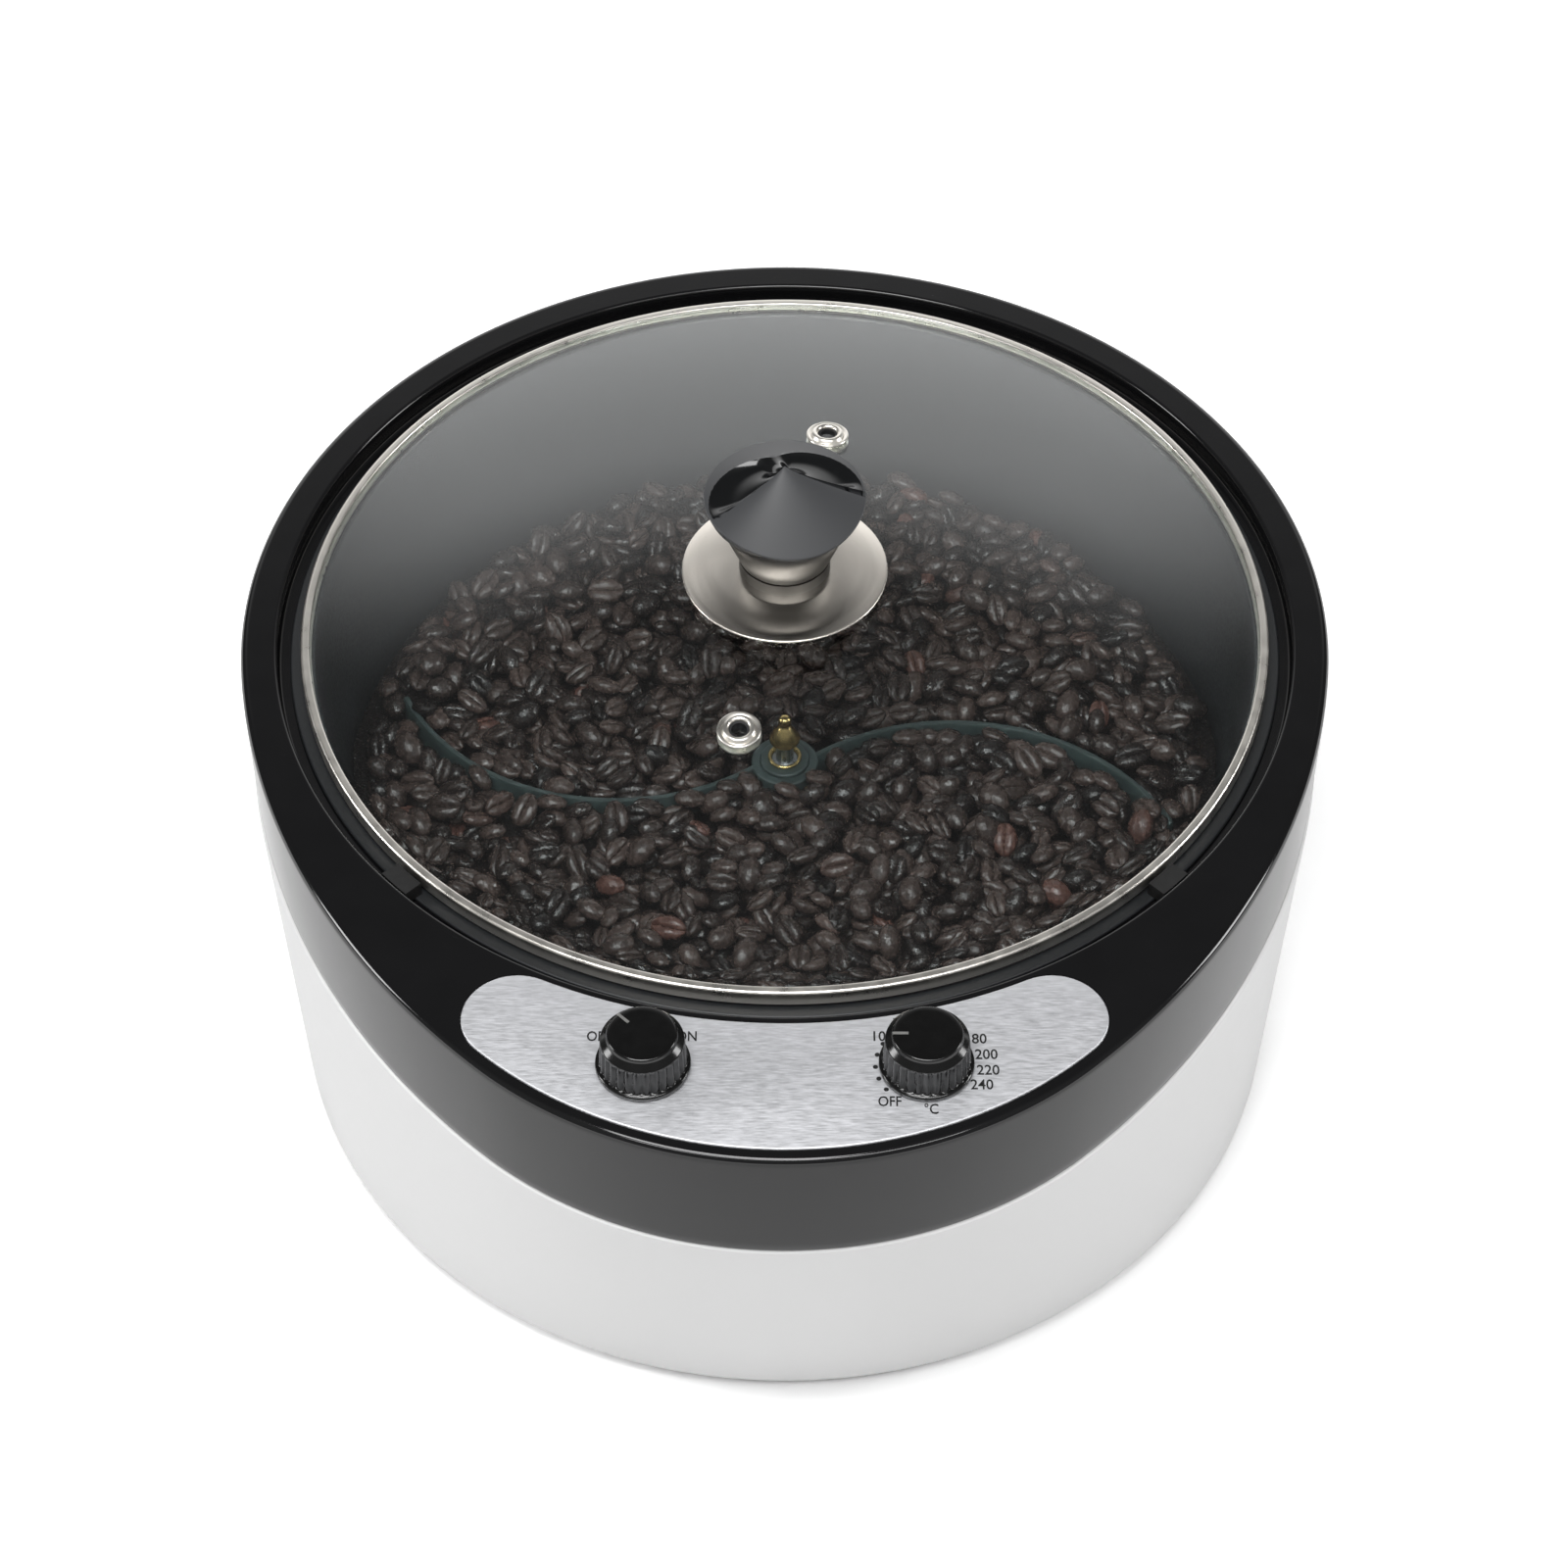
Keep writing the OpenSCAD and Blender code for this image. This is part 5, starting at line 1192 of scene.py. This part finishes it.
class ROASTER_OT_lid_knob(bpy.types.Operator):
    """Lid knob: spun plate, turned neck and black cap with three ridges and two hollows"""

    bl_idname = "roaster.lid_knob"
    bl_label = "Lid knob"

    cap_r, neck_r = 21.6, 12.4
    # Bearings of the two front ridges and of the one between the hollows behind them
    ridge_right, ridge_back, ridge_left = 3.0, 105.0, 207.0
    # A hollow in plan: half a disc behind its ridge, its middle on the ridge
    hollow_out, hollow_r, hollow_depth = 7.5, 13.6, 4.4

    def hollow(self, deg):
        """For bearings in degrees: angle behind the nearer ridge, whether a hollow lies there,
        and the hollow's edge = out cos b + sqrt(radius^2 - (out sin b)^2)."""
        behind = np.where(deg <= self.ridge_back, deg - self.ridge_right, self.ridge_left - deg)
        b = np.radians(np.clip(behind, 0, 180))
        edge = self.hollow_out * np.cos(b) + np.sqrt(
            self.hollow_r**2 - (self.hollow_out * np.sin(b)) ** 2
        )
        return behind, (deg > self.ridge_right) & (deg < self.ridge_left), edge

    def cap(self):
        """Height of the cap's top = peak - fall(bearing) x (r / rim)^0.8 - hollow, where hollow =
        1.25 x depth x wall(angle behind the ridge) x s^0.5 x (1 - s^2.4), with s = r / the
        hollow's edge. Rays run along the ridges, so these stay crisp."""
        z0, z1 = level("lid_knob_cap", top=False), level("lid_knob_cap")
        deg = np.arange(0, 360, 1.5)
        a = np.radians(deg)
        behind, within, edge = self.hollow(deg)
        edge = np.where(within, edge, self.hollow_out + self.hollow_r)
        s = (1 - np.cos(np.linspace(0, math.pi, 25)))[:, None] / 2
        u = np.linspace(0, 1, 8)[1:, None]
        r = np.concatenate([s * edge, edge + (self.cap_r - edge) * u])
        petal = np.clip(np.cos((a - math.radians(285)) * 90 / 78), 0, 1) * (~within)
        cone = z1 - (11.0 + 2.6 * petal**2) * (r / self.cap_r) ** 0.8
        wall = np.clip(behind / 13, 0, 1)
        wall = wall * wall * (3 - 2 * wall)
        saddle = np.clip((self.ridge_back - self.ridge_right - behind) / 26, 0, 1)
        wall = wall * (0.25 + 0.75 * saddle * saddle * (3 - 2 * saddle)) * within
        share = np.clip(r / edge, 0, 1)
        dent = self.hollow_depth * 1.25 * wall * share**0.5 * (1 - share**2.4)
        top = np.maximum(cone - dent, z0 + 0.5)
        rows = [np.stack([r * np.cos(a), r * np.sin(a), top], axis=-1)]
        rim = top[-1]
        for radius, z in (
            (self.cap_r + 0.15, np.maximum(rim - 0.25, z0 + 0.4)),
            (self.cap_r + 0.05, np.maximum(rim - 0.7, z0 + 0.3)),
            (20.7, z0 + 0.15 + 0 * a), (20.3, z0 + 0 * a), (10.0, z0 + 0 * a), (0.0, z0 + 0 * a),
        ):
            rows.append(np.stack([radius * np.cos(a), radius * np.sin(a), z], axis=-1)[None])
        return skin(np.concatenate(rows))

    def mark_sheen(self, made):
        """The cap is satin where no hollow lies, and its grey colour there is a painted sheen."""
        x, y, _ = (points_of(made.data) - np.array([0, PAN_Y, 0])).T
        _, within, edge = self.hollow(np.degrees(np.arctan2(y, x)) % 360)
        mark(made, "satin_sheen", np.where(within & (np.hypot(x, y) < edge), 0.0, 1.0))

    def execute(self, context):
        p0 = level("lid_knob_washer")
        s = np.linspace(0, 1, 9)
        r = self.neck_r + (28 - self.neck_r) * s
        fall = 1.6 * s**2
        plate = profile(
            (2.6, p0), (2.6, p0 + 1), np.column_stack([r[:-1], p0 + 1 - fall[:-1]]),
            (27.3, p0 + 1 - 1.56), bend((27.6, p0 - 1.6 + 0.55), 0.4, 80, -80, 6),
            np.column_stack([r[:-1], p0 - fall[:-1]])[::-1],
        )
        piece(
            "knob_plate_skin", lathe(plate, 200, tube=True), "turned_steel", "lid",
            ("lid_knob_plate",),
        )
        n0, n1 = level("lid_knob_neck", top=False), level("lid_knob_neck")
        neck = profile(
            (0, n0), (self.neck_r, n0), (self.neck_r, n0 + 3.55), (11.9, n0 + 3.6),
            (11.9, n0 + 4.05), (self.neck_r, n0 + 4.1), (19.2, n1 - 0.3), (19.1, n1), (0, n1),
        )
        # The neck's darker steel colour is painted shade, for what it mirrors.
        piece(
            "knob_neck_skin", lathe(neck, 160), "turned_steel_painted_shade", "lid", ("lid_knob_neck",),
            sharp=45,
        )
        cap = piece(
            "knob_cap_skin", self.cap(), "satin_phenolic", "lid", ("lid_knob_cap",),
            sharp=28,
        )
        self.mark_sheen(cap)
        return {"FINISHED"}


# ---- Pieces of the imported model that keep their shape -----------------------


class ROASTER_OT_inner_finishes(bpy.types.Operator):
    """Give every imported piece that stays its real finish"""

    bl_idname = "roaster.inner_finishes"
    bl_label = "Finishes of the packed pieces"

    finish_of = {
        "galvanised": "base_plate heat_shield element_saddles motor_case motor_bracket "
        "gearbox_base gearbox_case thermostat shield_posts",
        "zinc": "foot_screws tie_bolts shield_screws gearbox_screws bracket_screws "
        "control_nuts lid_knob_screw output_shaft switch_spindle thermostat_spindle idler_pin",
        "foot_rubber": "feet",
        "black_nylon": "pan_clips cable_gland power_switch",
        "stained_steel": "heating_element",
        "ceramic": "element_bushes thermal_fuse",
        "copper_wire": "stator_coil",
        "copper_tube": "thermostat_bulb",
        "bronze": "shaft_bush",
        "nylon": "terminal_block",
        "turned_brass": "terminal_screws",
        "red_wire": "wire_harness",
        "silicone": "lid_knob_washer",
        "acetal": "output_gear idler_gear",
        "ferrite": "motor_rotor",
        "foil": "power_knob_pointer thermostat_knob_pointer",
    }

    def execute(self, context):
        wanted = {node: f for f, nodes in self.finish_of.items() for node in nodes.split()}
        for name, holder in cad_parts.items():
            if name not in wanted:
                continue
            if not holder.data.materials:
                holder.data.materials.append(FINISHES[wanted[name]])
            for slot in holder.material_slots:
                slot.material = FINISHES[wanted[name]]
        return {"FINISHED"}


# ---- Stage ------------------------------------------------------------------


class ROASTER_OT_stage(bpy.types.Operator):
    """White floor, soft lights and the camera"""

    bl_idname = "roaster.stage"
    bl_label = "Stage"

    # name, place in m, target in m, width and height in m, radiance
    lamps = (
        ("key_box", (-0.2, -0.52, 1.72), (0, 0, 0.1), 0.9, 0.55, 10.5),
        ("front_strip", (0.05, -0.97, 1.5), (0, -0.1, 0.1), 1.7, 0.22, 8.5),
        ("left_box", (-1.4, 0.0, 0.7), (0, 0, 0.12), 0.36, 0.5, 12.0),
        ("right_box", (1.4, 0.1, 0.7), (0, 0, 0.12), 0.36, 0.5, 11.0),
    )
    # The photograph's camera: place in m, tilt in degrees, focal length and film width in mm
    eye, tilt, lens, film = (-0.0002, -0.78555, 0.9856), 42.10, 95.75, 36.0

    def floor(self, size):
        """White floor that takes the object's shadow. For the camera it is whiter than paper, so
        that its open part burns out, and it shines by itself more and more with the distance
        from the object. What the gloss of the object mirrors close by is plain paper."""
        made, tree = new_material("white_sweep")
        rays = add(tree, "LightPath").outputs
        seen = maths(tree, "MAXIMUM", rays["Is Camera Ray"], rays["Is Transmission Ray"])
        white = blend(tree, seen, linear("F2F2F2"), (1.3, 1.3, 1.3, 1))
        paper = add(tree, "BsdfDiffuse", {"Color": white})
        far = add(tree, "VectorMath", {0: object_place(tree)}, operation="LENGTH").outputs["Value"]
        share = remap(tree, far, 0.3, 1.1, kind="SMOOTHSTEP")
        mirrored = maths(tree, "MAXIMUM", seen, rays["Is Glossy Ray"])
        strength = maths(tree, "MULTIPLY", share, mirrored)
        shine = add(tree, "Emission", {"Color": (1, 1, 1, 1), "Strength": strength})
        surface(tree, add(tree, "AddShader", {0: paper.outputs[0], 1: shine.outputs[0]}))
        half = size / 2
        mesh = bpy.data.meshes.new("floor")
        mesh.from_pydata(
            [(-half, -half, 0), (half, -half, 0), (half, half, 0), (-half, half, 0)], [],
            [(0, 1, 2, 3)],
        )
        mesh.materials.append(made)
        plane = bpy.data.objects.new("floor", mesh)
        bpy.context.scene.collection.objects.link(plane)

    def world(self, scene):
        """Dim room with one large soft window low behind the object and a little light from the
        front, white for the camera. Window = step in height x step in the bearing from the back,
        both smooth."""
        room = bpy.data.worlds.new("room")
        room.use_nodes = True
        tree = room.node_tree
        tree.nodes.clear()
        way = add(tree, "TexCoord").outputs["Generated"]
        parts = add(tree, "SeparateXYZ", {0: way}).outputs
        flat = add(tree, "VectorMath", {0: way, 1: (1, 1, 0)}, operation="MULTIPLY").outputs[0]
        flat = add(tree, "VectorMath", {0: flat}, operation="NORMALIZE").outputs[0]
        back = add(tree, "SeparateXYZ", {0: flat}).outputs["Y"]
        high = remap(tree, parts["Z"], 0.75, 0.46, kind="SMOOTHSTEP")
        wide = remap(tree, back, 0.75, 0.96, kind="SMOOTHSTEP")
        glow = remap(tree, maths(tree, "MULTIPLY", high, wide), 0.0, 1.0, 0.1, 1.3)
        room_light = remap(tree, parts["Y"], 0.25, -0.35, 0.0, 0.14, "SMOOTHSTEP")
        glow = maths(tree, "ADD", glow, room_light)
        dim = add(tree, "Background", {"Color": (1, 1, 1, 1), "Strength": glow})
        white = add(tree, "Background", {"Color": (1, 1, 1, 1), "Strength": 1.0})
        seen = add(tree, "LightPath").outputs["Is Camera Ray"]
        mix = add(tree, "MixShader", {0: seen, 1: dim.outputs[0], 2: white.outputs[0]})
        add(tree, "OutputWorld", {"Surface": mix.outputs[0]})
        scene.world = room

    def execute(self, context):
        scene = context.scene
        settings = scene.roaster_stage
        self.floor(settings.floor_size)
        self.world(scene)
        for name, place, target, wide, high, radiance in self.lamps:
            lamp = bpy.data.lights.new(name, "AREA")
            lamp.shape = "RECTANGLE"
            lamp.size, lamp.size_y = wide, high
            lamp.energy = radiance * settings.light * math.pi * wide * high
            holder = bpy.data.objects.new(name, lamp)
            holder.location = place
            aim = Vector(target) - Vector(place)
            holder.rotation_euler = aim.to_track_quat("-Z", "Y").to_euler()
            scene.collection.objects.link(holder)
        view = bpy.data.cameras.new("camera")
        view.lens, view.sensor_width = self.lens, self.film
        view.clip_start, view.clip_end = 0.05, 50
        camera = bpy.data.objects.new("camera", view)
        camera.location = self.eye
        camera.rotation_euler = (math.radians(self.tilt), 0, 0)
        scene.collection.objects.link(camera)
        scene.camera = camera
        scene.view_settings.view_transform = "Standard"
        return {"FINISHED"}


# ---- Panel ------------------------------------------------------------------

STEPS = (
    ROASTER_OT_deck_ring,
    ROASTER_OT_shell,
    ROASTER_OT_control_plate,
    ROASTER_OT_dial_print,
    ROASTER_OT_knobs,
    ROASTER_OT_pan,
    ROASTER_OT_stirrer,
    ROASTER_OT_beans,
    ROASTER_OT_glass,
    ROASTER_OT_rim,
    ROASTER_OT_vents,
    ROASTER_OT_lid_knob,
    ROASTER_OT_inner_finishes,
    ROASTER_OT_stage,
)
GROUPS = {
    "roaster_housing": HousingSettings,
    "roaster_controls": ControlSettings,
    "roaster_lid": LidSettings,
    "roaster_beans": BeanSettings,
    "roaster_stage": StageSettings,
}


class ROASTER_PT_panel(bpy.types.Panel):
    """Lists the roaster's settings and pieces in the sidebar"""

    bl_label = "Coffee roaster"
    bl_idname = "ROASTER_PT_panel"
    bl_space_type = "VIEW_3D"
    bl_region_type = "UI"
    bl_category = "Roaster"

    def draw(self, context):
        for key in GROUPS:
            group = getattr(context.scene, key)
            box = self.layout.box()
            for name in group.__annotations__:
                box.prop(group, name)
        for step in STEPS:
            self.layout.operator(step.bl_idname)


def register():
    """Register the settings, the operators and the panel."""
    for group in GROUPS.values():
        bpy.utils.register_class(group)
    for key, group in GROUPS.items():
        setattr(bpy.types.Scene, key, PointerProperty(type=group))
    for step in STEPS:
        bpy.utils.register_class(step)
    bpy.utils.register_class(ROASTER_PT_panel)


def unregister():
    """Take everything out again."""
    bpy.utils.unregister_class(ROASTER_PT_panel)
    for step in reversed(STEPS):
        bpy.utils.unregister_class(step)
    for key in GROUPS:
        delattr(bpy.types.Scene, key)
    for group in reversed(list(GROUPS.values())):
        bpy.utils.unregister_class(group)


def main():
    """Build the whole scene, one operator after another."""
    register()
    make_finishes(bpy.context.scene)
    for step in STEPS:
        group, name = step.bl_idname.split(".")
        getattr(getattr(bpy.ops, group), name)()


if __name__ == "__main__":
    main()
